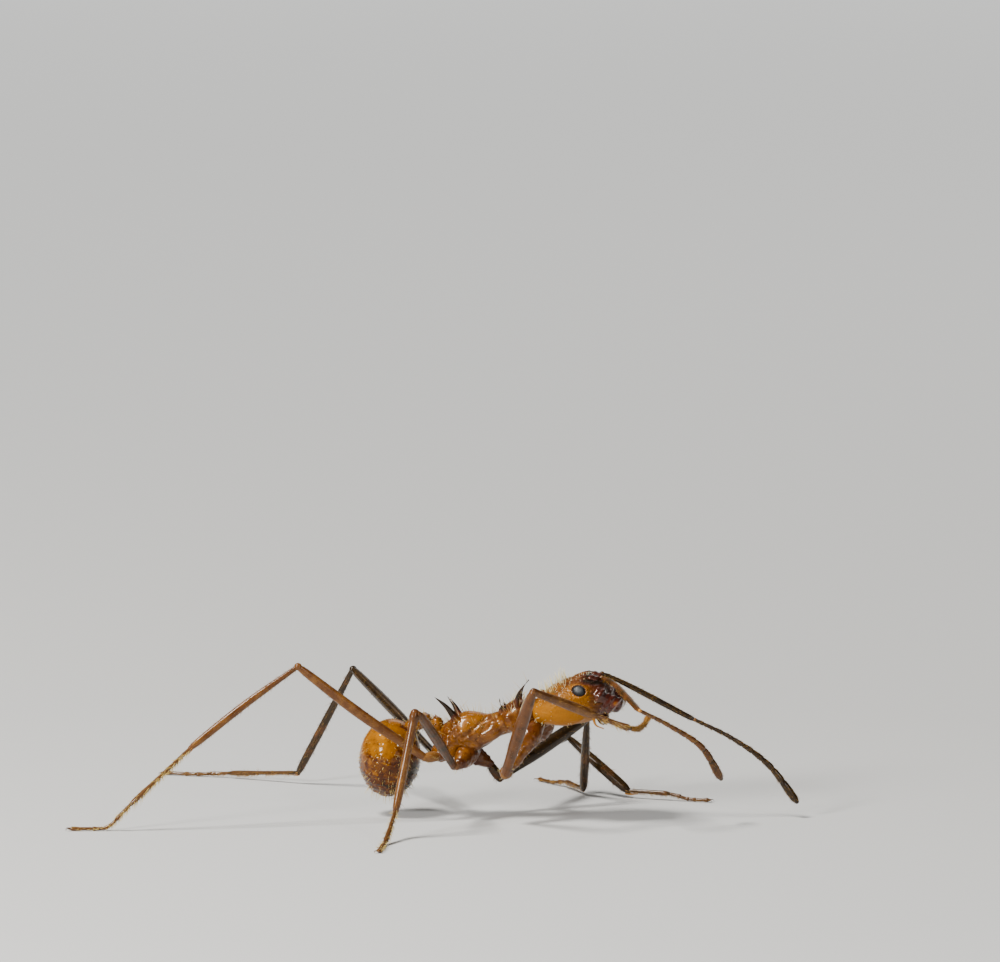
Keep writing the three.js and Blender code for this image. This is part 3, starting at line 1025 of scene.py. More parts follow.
# ------------------------------ head
@dataclass
class Head:
    """The head capsule, with its lobes, ridges and hind spines, the plates of its face and the two eyes."""

    centre: Triple = (5.18, 0.0, 4.3)
    stations: Knots = (  # from the centre: ahead, half width, top, bottom
        (-1.56, 0.3, 0.0, -0.48), (-1.4, 0.98, 0.24, -0.76), (-1.08, 1.28, 0.45, -0.85),
        (-0.65, 1.45, 0.67, -0.86), (-0.2, 1.5, 0.84, -0.83), (0.3, 1.42, 0.95, -0.78),
        (0.7, 1.27, 0.93, -0.67), (0.98, 1.12, 0.82, -0.5), (1.18, 0.94, 0.64, -0.34),
        (1.32, 0.64, 0.44, -0.2),
    )
    squareness: float = 2.3
    cleft: float = 0.5  # how deep the notch between the hind lobes is
    cleft_width: float = 0.5
    furrow: float = 0.16
    eye_from_centre: Triple = (0.31, 1.26, 0.53)
    eye_half: Triple = (0.25, 0.17, 0.2)
    eye_tilt: float = 32.0
    eye_slant: float = 20.0  # how far its long axis dips ahead
    features: tuple[Lump | Ridge | Spine, ...] = (  # on each side, from the centre
        Spine((-0.92, 0.95, 0.0), (-1.42, 1.12, 0.22), 0.19, bow=(0, 0, -0.02)),  # the hind corner's spine
        Spine((-0.55, 1.12, 0.42), (-0.66, 1.2, 0.6), 0.08),
        # the frontal ridge, its lobe over the feeler's root, and the socket's lower rim
        Ridge(((-0.1, 0.62, 0.82), (0.4, 0.54, 0.93), (0.9, 0.34, 0.84)), ((0, 0.03), (0.5, 0.09), (1, 0.11)),
              sides=14),
        Lump((0.74, 0.42, 0.86), (0.26, 0.17, 0.12), ((1, 18), (2, -25))),
        Lump((1.1, 0.55, 0.5), (0.16, 0.2, 0.13), ((1, 30),)),
        # the cheek, the jaw's hinge and the ridge from the eye to the jaw
        Lump((-0.35, 1.0, -0.28), (0.95, 0.46, 0.5)),
        Lump((0.98, 0.95, 0.08), (0.22, 0.2, 0.2)),
        Ridge(((0.5, 1.3, 0.4), (0.85, 1.16, 0.26), (1.08, 0.98, 0.12)), ((0, 0.03), (0.5, 0.06), (1, 0.05)),
              rings=24),
    )
    midline: tuple[Lump, ...] = (
        Lump((1.2, 0, 0.14), (0.2, 0.56, 0.32), ((1, 20),)),  # the plate above the mouth
        Lump((1.0, 0, -0.5), (0.26, 0.34, 0.16), ((1, 25),)),  # the mouth
        Lump((-1.0, 0, -0.2), (0.4, 0.3, 0.3)),  # the neck's socket
    )
    face_middle: Lump = Lump((1.2, 0, 0.15), (0.22, 0.6, 0.35), ((1, 20),))
    face_sides: tuple[Lump, ...] = (
        Lump((0.76, 0.42, 0.87), (0.3, 0.2, 0.13), ((1, 14), (2, -25))),
        Lump((0.98, 0.78, 0.3), (0.3, 0.46, 0.34), ((1, 12),)),
        Lump((0.8, 1.02, 0.22), (0.2, 0.2, 0.2)),
    )
    voxel: float = 0.02
    granules: int = 1250
    bristles: int = 420
    nape_hairs: int = 40
    face_tone: float = 0.21

    def eyes_at(self) -> Triple:
        """Returns the middle between the eyes, in the body's own frame."""
        return (self.centre[0] + self.eye_from_centre[0], 0.0, self.centre[2] + self.eye_from_centre[2])

    def capsule(self) -> Solid:
        """Shapes the bare skull, with its cleft and furrow.

        Returns:
            The skull, from the head's centre.
        """
        rings = sections(self.stations, 100, 110, self.squareness)
        middle = bell(rings[..., 1], self.cleft_width)
        behind = smoothstep(-rings[..., 0], 0.2, 1.5)
        above = np.where(rings[..., 2] > 0, smoothstep(-rings[..., 0], -0.6, 0.9), 0)
        rings[..., 0] += self.cleft * behind * middle
        rings[..., 2] -= self.furrow * above * middle
        return Solid.from_rings(rings)

    def eye_ring(self, side: int, scale: float, lift: float) -> Array:
        """Runs a ring round an eye.

        Args:
            side: -1 for right, 1 for left.
            scale: its size, as a share of the eye's.
            lift: how far out it stands.

        Returns:
            The ring's points, from the head's centre.
        """
        angle = np.linspace(0, 2 * math.pi, 49)
        ring = np.stack([np.cos(angle) * self.eye_half[0] * scale, np.full(49, lift * side),
                         np.sin(angle) * self.eye_half[2] * scale], axis=1)
        return self.at_eye(ring, side)

    def at_eye(self, points: Array, side: int) -> Array:
        """Returns points of an eye's own axes, from the head's centre."""
        return turn(turn(points, 1, self.eye_slant), 0, side * self.eye_tilt) + mirrored(
            self.eye_from_centre, side)

    def socket_ring(self, side: int) -> Array:
        """Runs a ring round a feeler's socket.

        Args:
            side: -1 for right, 1 for left.

        Returns:
            The ring's points, from the head's centre.
        """
        angle = np.linspace(0, 2 * math.pi, 37)
        ring = 0.15 * np.stack([np.cos(angle), np.sin(angle), 0 * angle], axis=1)
        return turn(turn(ring, 1, 42), 2, 28 * side) + (1.03, 0.43 * side, 0.77)

    def skull(self) -> Solid:
        """Melts the capsule and its features into one skin.

        Returns:
            The skull, in the body's own frame.
        """
        parts = [self.capsule()]
        for _, side in SIDES:
            parts += [feature.solid(side) for feature in self.features]
            for ring, radius in ((self.eye_ring(side, 1.15, -0.01), 0.05), (self.socket_ring(side), 0.032)):
                parts.append(Limb(ring, np.full(len(ring), radius), sides=12, caps=1).solid())
        parts += [lump.solid() for lump in self.midline]
        skin = Solid.union(parts).fused(self.voxel, relax=4)
        return self._toned(self._carved(skin)).shifted(self.centre)

    def _carved(self, skin: Solid) -> Solid:
        """Carves the seams, wrinkles and granules.

        Args:
            skin: the smooth skull, from the head's centre.

        Returns:
            The carved skull.
        """
        x, y, z = skin.points.T
        upper = smoothstep(z, 0.1, 0.4)
        # the seam along the crown, and the one under the head
        height = -0.03 * bell(y, 0.04) * smoothstep(x, -0.9, -0.2) * smoothstep(-x, -0.9, -0.3) * upper
        height -= 0.035 * bell(y, 0.05) * smoothstep(-z, 0.4, 0.6)
        face_seam = x - 0.9 + 0.35 * np.abs(y)
        height -= 0.02 * bell(face_seam, 0.035) * smoothstep(x, 0.6, 0.8) * upper * (np.abs(y) < 0.5)
        # long wrinkles run forward over the crown and fan out between the eyes and the jaws
        lanes = np.sin(y * 44 + 2.5 * np.sin(x * 5)) * (0.6 + 0.4 * np.sin(x * 9 + y * 4))
        height += 0.006 * lanes * smoothstep(z, 0.3, 0.6) * smoothstep(-x, -1.0, -0.5)
        fan = np.sin(40 * (z - 0.35 * x) + 2 * np.sin(x * 7)) * smoothstep(np.abs(y), 0.5, 0.8)
        height += 0.01 * fan * smoothstep(x, 0.5, 0.8) * smoothstep(z, -0.3, 0.1)
        sites, _ = skin.scatter(self.granules, seed=11)
        sites = sites[(sites[:, 2] > -0.02) & (sites[:, 0] < 0.95)]
        height += 0.021 * gathered(skin.points, sites, 0.029)
        return skin.swollen(height)

    def _toned(self, skin: Solid) -> Solid:
        """Tones the amber cheeks, partly with painted glow, the brown crown, the dark face and the black
        spine tips, with painted shade under the head and painted highlights round the eyes and on the jaws'
        hinges.

        Args:
            skin: the carved skull, from the head's centre.

        Returns:
            The toned skull.
        """
        x, y, z = skin.points.T
        tone = np.full(len(x), 0.57)
        crown = smoothstep(z, 0.35, 0.8)
        tone -= 0.14 * crown * smoothstep(x, -1.2, 0.0)
        face = smoothstep(x + 0.1 * z, 0.66, 0.96)
        tone -= 0.1 * smoothstep(x, 0.4, 0.8) + 0.22 * face
        tone -= 0.42 * smoothstep(z, 0.66, 0.84) * smoothstep(x, 0.1, 0.5)
        # the amber cheek is partly its own colour and partly painted glow of light shining through the thin
        # shell
        cheek = smoothstep(-(z + 0.04 * x), -0.16, 0.14) * smoothstep(x, 1.0, 0.3)
        cheek *= smoothstep(z, -0.95, -0.72)
        cheek *= smoothstep(np.abs(y), 0.35, 0.8)
        tone += 0.4 * cheek
        # darker under the head: partly its own colour, partly painted shade
        tone -= 0.12 * smoothstep(-z, 0.72, 0.9)
        tip = vec(self.features[0].tip)
        from_tips = skin.points - tip * (1, 0, 1) - np.stack([0 * x, np.sign(y) * tip[1], 0 * x], 1)
        tone -= 0.35 * smoothstep(np.linalg.norm(from_tips, axis=1), 0.3, 0.05)
        for _, side in SIDES:
            eye = mirrored(self.eye_from_centre, side)
            away = turn(turn(skin.points - eye, 0, -side * self.eye_tilt), 1, -self.eye_slant)
            away = away / vec(self.eye_half)
            radial = np.linalg.norm(away[:, [0, 2]], axis=1)
            near = np.abs(away[:, 1]) < 2
            # a pale rim, partly a painted highlight, runs round the dark bed of the eye, and a painted
            # highlight lies on the jaw's hinge
            tone += np.where(near, 0.34 * bell(radial - 1.36, 0.2), 0)
            tone -= np.where(near, 0.5 * smoothstep(-radial, -1.14, -1.02), 0)
            hinge = np.linalg.norm(skin.points - vec((0.86, 1.2 * side, 0.1)), axis=1)
            tone += 0.12 * bell(hinge, 0.08)
        return skin.toned(tone)

    def plates(self) -> Solid:
        """Shapes the glossy plates of the face, with slanting ripples.

        Returns:
            The plates, in the body's own frame.
        """
        parts = [self.face_middle.solid()]
        parts += [lump.solid(side) for _, side in SIDES for lump in self.face_sides]
        faces = Solid.union(parts).fused(self.voxel, relax=3)
        x, _, z = faces.points.T
        ripple = 0.018 * np.sin(24 * (x - 0.6 * z)) + 0.012 * np.sin(31 * z + 9 * x)
        tone = self.face_tone + 0.05 * np.sin(13 * x + 7 * z)
        return faces.swollen(ripple).toned(tone).shifted(self.centre)

    def eye(self, side: int) -> Solid:
        """Shapes an eye, paler at its middle.

        Args:
            side: -1 for right, 1 for left.

        Returns:
            The eye, in the body's own frame.
        """
        ball = ellipsoid((0, 0, 0), self.eye_half, rings=60, sides=60)
        outward = ball.points[:, 1] * side / self.eye_half[1]
        tone = 0.02 + 0.8 * smoothstep(outward, 0.62, 0.96)
        return ball.toned(tone).moved(lambda points: self.at_eye(points, side) + vec(self.centre))

    def build(self, body: Framework) -> None:
        """Builds the skull, the eyes and their bristles.

        Args:
            body: the fixed frame's measures.
        """
        skull = self.skull()
        show("head_shell", skull.moved(body.place), HEAD_SHELL, "head_shell", "head")
        show("face_plates", self.plates().moved(body.place), FACE_SHELL, "head_shell")
        for name, side in SIDES:
            show(f"eye_{name}_globe", self.eye(side).moved(body.place), EYE_LENSES, "eye", f"eye_{name}")
        self._bristled(skull, body)

    def _bristled(self, skull: Solid, body: Framework) -> None:
        """Grows the head's bristles: long and upright on the crown, short and few elsewhere.

        Args:
            skull: the skull, in the body's own frame.
            body: the fixed frame's measures.
        """
        rng = np.random.default_rng(21)
        roots, normals = skull.scatter(self.bristles * 3, seed=22)
        local = roots - vec(self.centre)
        crown = smoothstep(local[:, 2], 0.1, 0.5) * smoothstep(-local[:, 0], -0.7, 0.1)
        clear = np.ones(len(roots), bool)
        for _, side in SIDES:
            clear &= np.linalg.norm(local - mirrored(self.eye_from_centre, side), axis=1) > 0.36
        face = smoothstep(local[:, 0], 0.4, 0.8)
        bare = 0.6 * smoothstep(local[:, 0], -0.4, 0.1)
        keep = clear & (rng.random(len(roots)) < 0.12 + 0.5 * crown * (1 - bare) - 0.08 * face)
        roots, normals, crown = roots[keep], normals[keep], crown[keep]
        nape = crown * smoothstep(-(roots[:, 0] - self.centre[0]), -0.1, 0.5)
        long = nape * (rng.random(len(roots)) < 0.35)
        lengths = rng.uniform(0.05, 0.13, len(roots)) + long * rng.uniform(0.2, 0.44, len(roots))
        ways = strewn(rng, normals, 0.2, (-0.1, 0, 0.35))
        coat = Coat("head_bristles", "head_shell")
        coat.plant(body, self.centre, roots, ways, lengths, radius=0.013, bend=(0.1, 0, 0.05), tone=0.9)
        # longer hairs stand on the nape
        roots, normals = skull.scatter(1300, seed=23)
        local = roots - vec(self.centre)
        nape = (local[:, 0] < -0.35) & (local[:, 0] > -1.2) & (local[:, 2] > 0.24)
        roots, normals = roots[nape][:self.nape_hairs], normals[nape][:self.nape_hairs]
        ways = strewn(rng, normals * 0.5, 0.16, (-0.3, 0, 0.9))
        lengths = rng.uniform(0.3, 0.54, len(roots))
        coat.plant(body, self.centre, roots, ways, lengths, radius=0.02, bend=(0.12, 0, 0.05), tone=0.78)
        coat.build()


@dataclass
class Jaws:
    """The two toothed jaws and the palps below them, measured from the head's centre."""

    centre: Triple = (5.18, 0.0, 4.3)
    outer: Knots = ((0.72, 1.0, 0), (1.1, 1.08, 0), (1.48, 0.96, 0), (1.76, 0.6, 0), (1.83, 0.12, 0))
    inner: Knots = ((0.78, 0.5, 0), (1.0, 0.3, 0), (1.24, 0.16, 0), (1.52, 0.1, 0), (1.82, 0.06, 0))
    depth: Knots = ((0, 0.42), (0.3, 0.48), (0.55, 0.43), (0.8, 0.3), (0.93, 0.18), (1, 0.08))  # half depth
    teeth: int = 9
    tooth: float = 0.11
    teeth_from: float = 0.42  # the share of the jaw where its biting edge starts
    dip: float = 12.0
    rise: float = 0.1
    lip: Lump = Lump((1.02, 0, -0.6), (0.16, 0.16, 0.13), ((1, 35),), tone=0.3)
    palps: tuple[Lump | Ridge, ...] = (
        Lump((0.98, 0.22, -0.58), (0.24, 0.1, 0.12), ((1, 30),), tone=0.35),
        Ridge(((0.86, 0.3, -0.6), (0.98, 0.36, -0.74), (1.1, 0.34, -0.8)),
              ((0, 0.035), (0.6, 0.04), (1, 0.02)), rings=16, sides=10),
        Ridge(((1.0, 0.08, -0.66), (1.08, 0.12, -0.78), (1.16, 0.13, -0.82)), ((0, 0.03), (1, 0.02)),
              rings=12, sides=10),
    )

    def jaw(self, side: int) -> Solid:
        """Returns one jaw.

        Args:
            side: -1 for right, 1 for left.

        Returns:
            The jaw, in the body's own frame.
        """
        count = 200
        share = np.linspace(0, 1, count)
        outer, inner = catmull(self.outer, count), catmull(self.inner, count)
        bite = smoothstep(share, self.teeth_from, self.teeth_from + 0.05)
        phase = (share - self.teeth_from) / (1 - self.teeth_from) * self.teeth % 1
        inner[:, 1] += self.tooth * bite * (1 - phase) ** 1.4 * smoothstep(phase, 0, 0.12)
        half = profile(self.depth, share)
        angle = np.linspace(0, 2 * math.pi, 40, endpoint=False)
        # each section is a lens from the outer face to the thin biting edge
        lens = np.sin(angle) * (0.25 + 0.75 * (0.5 + 0.5 * np.cos(angle)) ** 0.7)
        middle, reach = (outer + inner) / 2, (outer - inner) / 2
        rings = middle[:, None] + reach[:, None] * np.cos(angle)[None, :, None]
        rings[..., 2] += half[:, None] * lens + self.rise
        solid = Solid.from_rings(rings, 0.44 - 0.24 * smoothstep(share, 0.5, 1.0))
        x, y, z = solid.points.T
        spot = np.exp(-(((x - 1.6) / 0.14) ** 2) - ((z - 0.17) / 0.12) ** 2) * (y > 0.3)
        # shallow facets slant down and forward over the outer face
        ripple = 0.02 * np.sin(26 * (x - 0.5 * z)) * smoothstep(y, 0.3, 0.6)
        solid = solid.toned(solid.tone + 0.62 * spot).swollen(ripple)
        solid = solid.moved(lambda points: turn(points, 1, self.dip, (1.0, 0, 0.06)))
        if side < 0:
            solid = solid.moved(lambda points: points * (1, -1, 1)).inside_out()
        return solid.shifted(self.centre)

    def mouth(self) -> Solid:
        """Joins the palps and the lower lip that show under the jaws.

        Returns:
            The mouthparts, in the body's own frame.
        """
        parts = [self.lip.solid(), *(palp.solid(side) for _, side in SIDES for palp in self.palps)]
        return Solid.union(parts).shifted(self.centre)

    def build(self, body: Framework) -> None:
        """Builds the jaws, the mouth and the jaws' bristles.

        Args:
            body: the fixed frame's measures.
        """
        coat = Coat("jaw_bristles", "jaw")
        rng = np.random.default_rng(31)
        for name, side in SIDES:
            jaw = self.jaw(side)
            show(f"jaw_{name}", jaw.moved(body.place), JAW_HORN, "jaw", f"mandible_{name}")
            roots, normals = jaw.scatter(90, seed=32 + side)
            low = roots[:, 2] < self.centre[2] + 0.1
            ways = unit(normals[low] + vec((0.9, 0, -0.2)) + rng.normal(0, 0.15, (low.sum(), 3)))
            lengths = rng.uniform(0.06, 0.16, low.sum())
            coat.plant(body, self.centre, roots[low], ways, lengths, radius=0.007, tone=0.35)
        show("mouthparts", self.mouth().moved(body.place), JAW_HORN, "jaw")
        coat.build()


# ------------------------------ trunk and waist
@dataclass
class Thorax:
    """The trunk's shell, with its three pairs of spines, its seams and its warts."""

    stations: Knots = (  # ahead, half width, top, bottom
        (0.3, 0.16, 3.16, 2.9), (0.38, 0.34, 3.32, 2.72), (0.62, 0.55, 3.5, 2.54), (0.95, 0.66, 3.72, 2.46),
        (1.3, 0.68, 3.84, 2.42), (1.65, 0.62, 3.82, 2.46), (2.0, 0.52, 3.76, 2.6), (2.35, 0.5, 3.84, 2.88),
        (2.65, 0.6, 4.04, 3.02), (3.0, 0.72, 4.26, 3.1), (3.35, 0.7, 4.28, 3.05), (3.7, 0.5, 4.12, 3.04),
        (3.95, 0.34, 3.98, 3.2), (4.3, 0.26, 3.95, 3.4), (4.6, 0.22, 3.98, 3.5),
    )
    # of one of each pair: base, tip, root radius, and how far ahead and up the right tip is shifted
    spines: Knots = (
        (3.08, 0.45, 4.14, 3.5, 0.7, 5.02, 0.125, 0.1, 0.1),
        (2.54, 0.34, 3.86, 2.48, 0.46, 4.38, 0.13, 0.0, 0.05),
        (1.0, 0.34, 3.45, 0.28, 0.8, 4.36, 0.19, -0.13, 0.11),
        (3.5, 0.55, 3.35, 3.74, 0.74, 3.16, 0.1, 0.0, 0.0),
    )
    bosses: Knots = (  # ahead, up, width and height of the smooth bumps on each side
        (0.86, 3.46, 0.08, 0.07), (0.84, 3.24, 0.075, 0.07), (0.68, 3.12, 0.065, 0.06),
        (0.64, 2.95, 0.065, 0.06), (0.88, 2.98, 0.075, 0.06), (0.62, 2.68, 0.08, 0.07),
        (1.2, 3.18, 0.2, 0.09), (1.14, 2.84, 0.08, 0.05), (1.36, 2.58, 0.08, 0.05), (1.14, 2.54, 0.08, 0.05),
        (2.2, 3.52, 0.14, 0.04), (1.74, 3.06, 0.2, 0.05), (2.8, 3.74, 0.15, 0.07), (2.98, 3.5, 0.12, 0.05),
    )
    features: tuple[Lump | Ridge, ...] = (  # on each side
        Lump((3.05, 0.5, 3.6), (0.42, 0.26, 0.42), ((1, -30),)),  # front side plate
        Ridge(((1.72, 0.3, 2.84), (2.12, 0.32, 3.12), (2.6, 0.32, 3.46)),  # middle side plate
              ((0, 0.26), (0.5, 0.33), (1, 0.3)), sides=24),
        Lump((1.3, 0.42, 3.0), (0.46, 0.28, 0.46)),  # hind side plate
        Lump((0.78, 0.48, 2.76), (0.34, 0.17, 0.2), ((1, 15),)),  # gland blister
        Lump((0.66, 0.4, 2.42), (0.32, 0.2, 0.28)),
        Lump((3.6, 0.36, 3.14), (0.3, 0.3, 0.32), ((1, 25),)),  # the three hip sockets
        Lump((1.58, 0.36, 2.7), (0.32, 0.26, 0.26)),
        Lump((0.74, 0.34, 2.56), (0.3, 0.27, 0.24)),
        # the ridges that run to the hind spine and to the front spine
        Ridge(((1.75, 0.3, 3.6), (1.4, 0.36, 3.68), (1.02, 0.34, 3.54)), ((0, 0.05), (0.5, 0.09), (1, 0.14))),
        Ridge(((2.5, 0.3, 3.8), (2.8, 0.38, 4.06), (3.1, 0.44, 4.14)), ((0, 0.06), (0.5, 0.1), (1, 0.14))),
    )
    tinges: Knots = (  # ahead, up, width and how much warmer the tone is
        (1.5, 3.75, 0.4, 0.24), (1.12, 3.15, 0.3, 0.06), (2.25, 2.85, 0.3, 0.14), (2.8, 3.15, 0.25, 0.16),
        (1.0, 2.5, 0.4, 0.08),
    )
    middle: Triple = (2.2, 0.0, 3.2)  # what the bristles' unwrap is drawn about
    voxel: float = 0.022
    warts: int = 330
    bristles: int = 330
    front_hairs: int = 26

    def shell(self) -> Solid:
        """Melts the trunk, its plates and its spines into one skin.

        Returns:
            The trunk, in the body's own frame.
        """
        parts = [Solid.from_rings(sections(self.stations, 150, 90))]
        for _, side in SIDES:
            for spine in self.spines:
                base, tip = self.spine_ends(spine, side)
                bow = (-0.07 if tip[0] > base[0] else 0.02, 0.02 * side, 0.09 * (tip[2] - base[2]))
                parts.append(horn(base, tip, spine[6], bow))
            parts += [feature.solid(side) for feature in self.features]
        skin = Solid.union(parts).fused(self.voxel, relax=5)
        return self._toned(self._carved(skin))

    @staticmethod
    def spine_ends(spine: Sequence[float], side: int) -> tuple[Array, Array]:
        """Returns the base and the tip of a spine on one side."""
        bx, by, bz, tx, ty, tz, _, ahead, up = spine
        return mirrored((bx, by, bz), side), mirrored((tx - ahead * side, ty, tz - up * side), side)

    def _carved(self, skin: Solid) -> Solid:
        """Carves the seams, the side grooves, the bumps and the warts.

        Args:
            skin: the smooth trunk.

        Returns:
            The carved trunk.
        """
        x, y, z = skin.points.T
        aside = smoothstep(np.abs(y), 0.2, 0.4)
        height = np.zeros(len(x))
        # two broad furrows part the plates: under the back's dip, slanting ahead, and behind the front plate
        for start, slope, deep in ((1.6, 1.06, 0.05), (2.56, -0.35, 0.03)):
            furrow = x - start - slope * (z - 3.3)
            height -= deep * bell(furrow, 0.1) * aside * smoothstep(z, 2.75, 3.0)
        level = z - 2.74 - 0.06 * np.sin(x * 6)
        height -= 0.025 * bell(level, 0.07) * aside * smoothstep(x, 0.9, 1.1) * smoothstep(-x, -1.8, -1.6)
        height -= 0.012 * bell(y, 0.03) * smoothstep(z, 3.4, 3.6)
        for ahead, up, width, rise in self.bosses:
            height += rise * np.exp(-((x - ahead) ** 2 + (z - up) ** 2) / width**2) * aside
        sites, _ = skin.scatter(self.warts * 2, seed=41)
        rng = np.random.default_rng(42)
        hind = smoothstep(-sites[:, 0], -2.4, -1.2)
        sites = sites[rng.random(len(sites)) < 0.42 * hind]
        height += 0.022 * gathered(skin.points, sites, 0.04)
        return skin.swollen(height)

    def _toned(self, skin: Solid) -> Solid:
        """Tones the amber back, the brown sides and the near-black spines.

        Args:
            skin: the carved trunk.

        Returns:
            The toned trunk.
        """
        x, _, z = skin.points.T
        tone = np.full(len(x), 0.44)
        for ahead, up, width, rise in self.tinges:
            tone += rise * np.exp(-((x - ahead) ** 2 + (z - up) ** 2) / width**2)
        tone -= 0.1 * smoothstep(x, 2.6, 3.2) * smoothstep(z, 3.6, 4.1)
        for spine in self.spines[:3]:
            for _, side in SIDES:
                base, tip = self.spine_ends(spine, side)
                local = skin.points - base
                along = local @ (tip - base) / ((tip - base) @ (tip - base))
                gap = np.linalg.norm(local - along[:, None] * (tip - base), axis=1)
                tone -= 0.55 * smoothstep(along, 0.1, 0.42) * (gap < spine[6] + 0.1)
        return skin.toned(tone)

    def build(self, body: Framework) -> None:
        """Builds the trunk and its bristles.

        Args:
            body: the fixed frame's measures.
        """
        shell = self.shell()
        show("thorax_shell", shell.moved(body.place), SHELL, "trunk_shell",
             "pronotum", "mesothorax", "propodeum")
        rng = np.random.default_rng(43)
        roots, normals = shell.scatter(self.bristles * 2, seed=44)
        back = smoothstep(normals[:, 2], -0.1, 0.6)
        keep = rng.random(len(roots)) < 0.18 + 0.5 * back
        roots, normals, back = roots[keep], normals[keep], back[keep]
        lengths = rng.uniform(0.06, 0.14, len(roots)) + back**2 * rng.uniform(0.06, 0.42, len(roots))
        ways = strewn(rng, normals, 0.2, (-0.1, 0, 0.2))
        coat = Coat("thorax_bristles", "trunk_shell")
        coat.plant(body, self.middle, roots, ways, lengths, radius=0.0085, bend=(-0.12, 0, 0.06), tone=0.5)
        # longer hairs stand on the front of the back
        roots, normals = shell.scatter(1500, seed=45)
        front = (roots[:, 0] > 2.9) & (roots[:, 0] < 3.9) & (roots[:, 2] > 3.95) & (roots[:, 2] < 4.4)
        roots, normals = roots[front][:self.front_hairs], normals[front][:self.front_hairs]
        ways = strewn(rng, normals * 0.6, 0.3, (0.1, 0, 0.7))
        lengths = rng.uniform(0.22, 0.44, len(roots))
        coat.plant(body, self.middle, roots, ways, lengths, radius=0.018, bend=(0.15, 0, 0.05), tone=0.75)
        coat.build()


@dataclass
class Waist:
    """The two nodes of the waist."""

    petiole: Triple = (0.17, 0.0, 3.34)
    postpetiole: Triple = (-0.38, 0.0, 3.47)
    voxel: float = 0.018
    bristles: int = 70

    def nodes(self) -> dict[str, Solid]:
        """Melts each node and its stalks into one skin.

        Returns:
            Each node's skin by its name, in the body's own frame.
        """
        px, _, pz = self.petiole
        qx, _, qz = self.postpetiole
        first = [
            ellipsoid(self.petiole, (0.22, 0.29, 0.29), ((1, -8),)),
            Limb.shaped(((0.62, 0, 2.92), (0.4, 0, 3.0), (0.16, 0, 3.2)), ((0, 0.2), (0.5, 0.17), (1, 0.22)),
                        rings=24).solid(),
            Limb.shaped((self.petiole, (px - 0.2, 0, pz - 0.04), (qx + 0.25, 0, qz - 0.06)),
                        ((0, 0.18), (1, 0.15)), rings=16).solid(),
        ]
        second = [
            ellipsoid(self.postpetiole, (0.34, 0.42, 0.27), ((1, -20),)),
            ellipsoid((qx - 0.12, 0, qz - 0.16), (0.26, 0.3, 0.2), ((1, -30),)),
            Limb.shaped((self.postpetiole, (qx - 0.26, 0, qz - 0.14), (-0.95, 0, 3.1)),
                        ((0, 0.24), (1, 0.22)), rings=16).solid(),
        ]
        for _, side in SIDES:
            first.append(horn((px - 0.04, 0.12 * side, pz + 0.2), (px - 0.12, 0.2 * side, pz + 0.36), 0.07))
            first.append(horn((px, 0.2 * side, pz), (px - 0.06, 0.36 * side, pz + 0.06), 0.07))
            second.append(ellipsoid((qx - 0.02, 0.3 * side, qz + 0.06), (0.2, 0.16, 0.16)))
        found = {}
        for name, parts in (("petiole", first), ("postpetiole", second)):
            skin = Solid.union(parts).fused(self.voxel, relax=4)
            sites, _ = skin.scatter(60, seed=51)
            skin = skin.swollen(0.02 * gathered(skin.points, sites, 0.036))
            top = smoothstep(skin.points[:, 2], 3.3, 3.7)
            found[name] = skin.toned(0.56 - 0.08 * top + 0.1 * smoothstep(-skin.points[:, 2], -3.2, -3.0))
        return found

    def build(self, body: Framework) -> None:
        """Builds the nodes and their bristles.

        Args:
            body: the fixed frame's measures.
        """
        coat = Coat("waist_bristles", "trunk_shell")
        rng = np.random.default_rng(52)
        for name, skin in self.nodes().items():
            cover(name, skin.moved(body.place), SHELL, "trunk_shell")
            roots, normals = skin.scatter(self.bristles, seed=53)
            lengths = rng.uniform(0.1, 0.34, len(roots))
            ways = strewn(rng, normals, 0.2, (-0.25, 0, 0.2))
            centre = self.petiole if name == "petiole" else self.postpetiole
            coat.plant(body, centre, roots, ways, lengths, radius=0.0085, tone=0.6)
        coat.build()


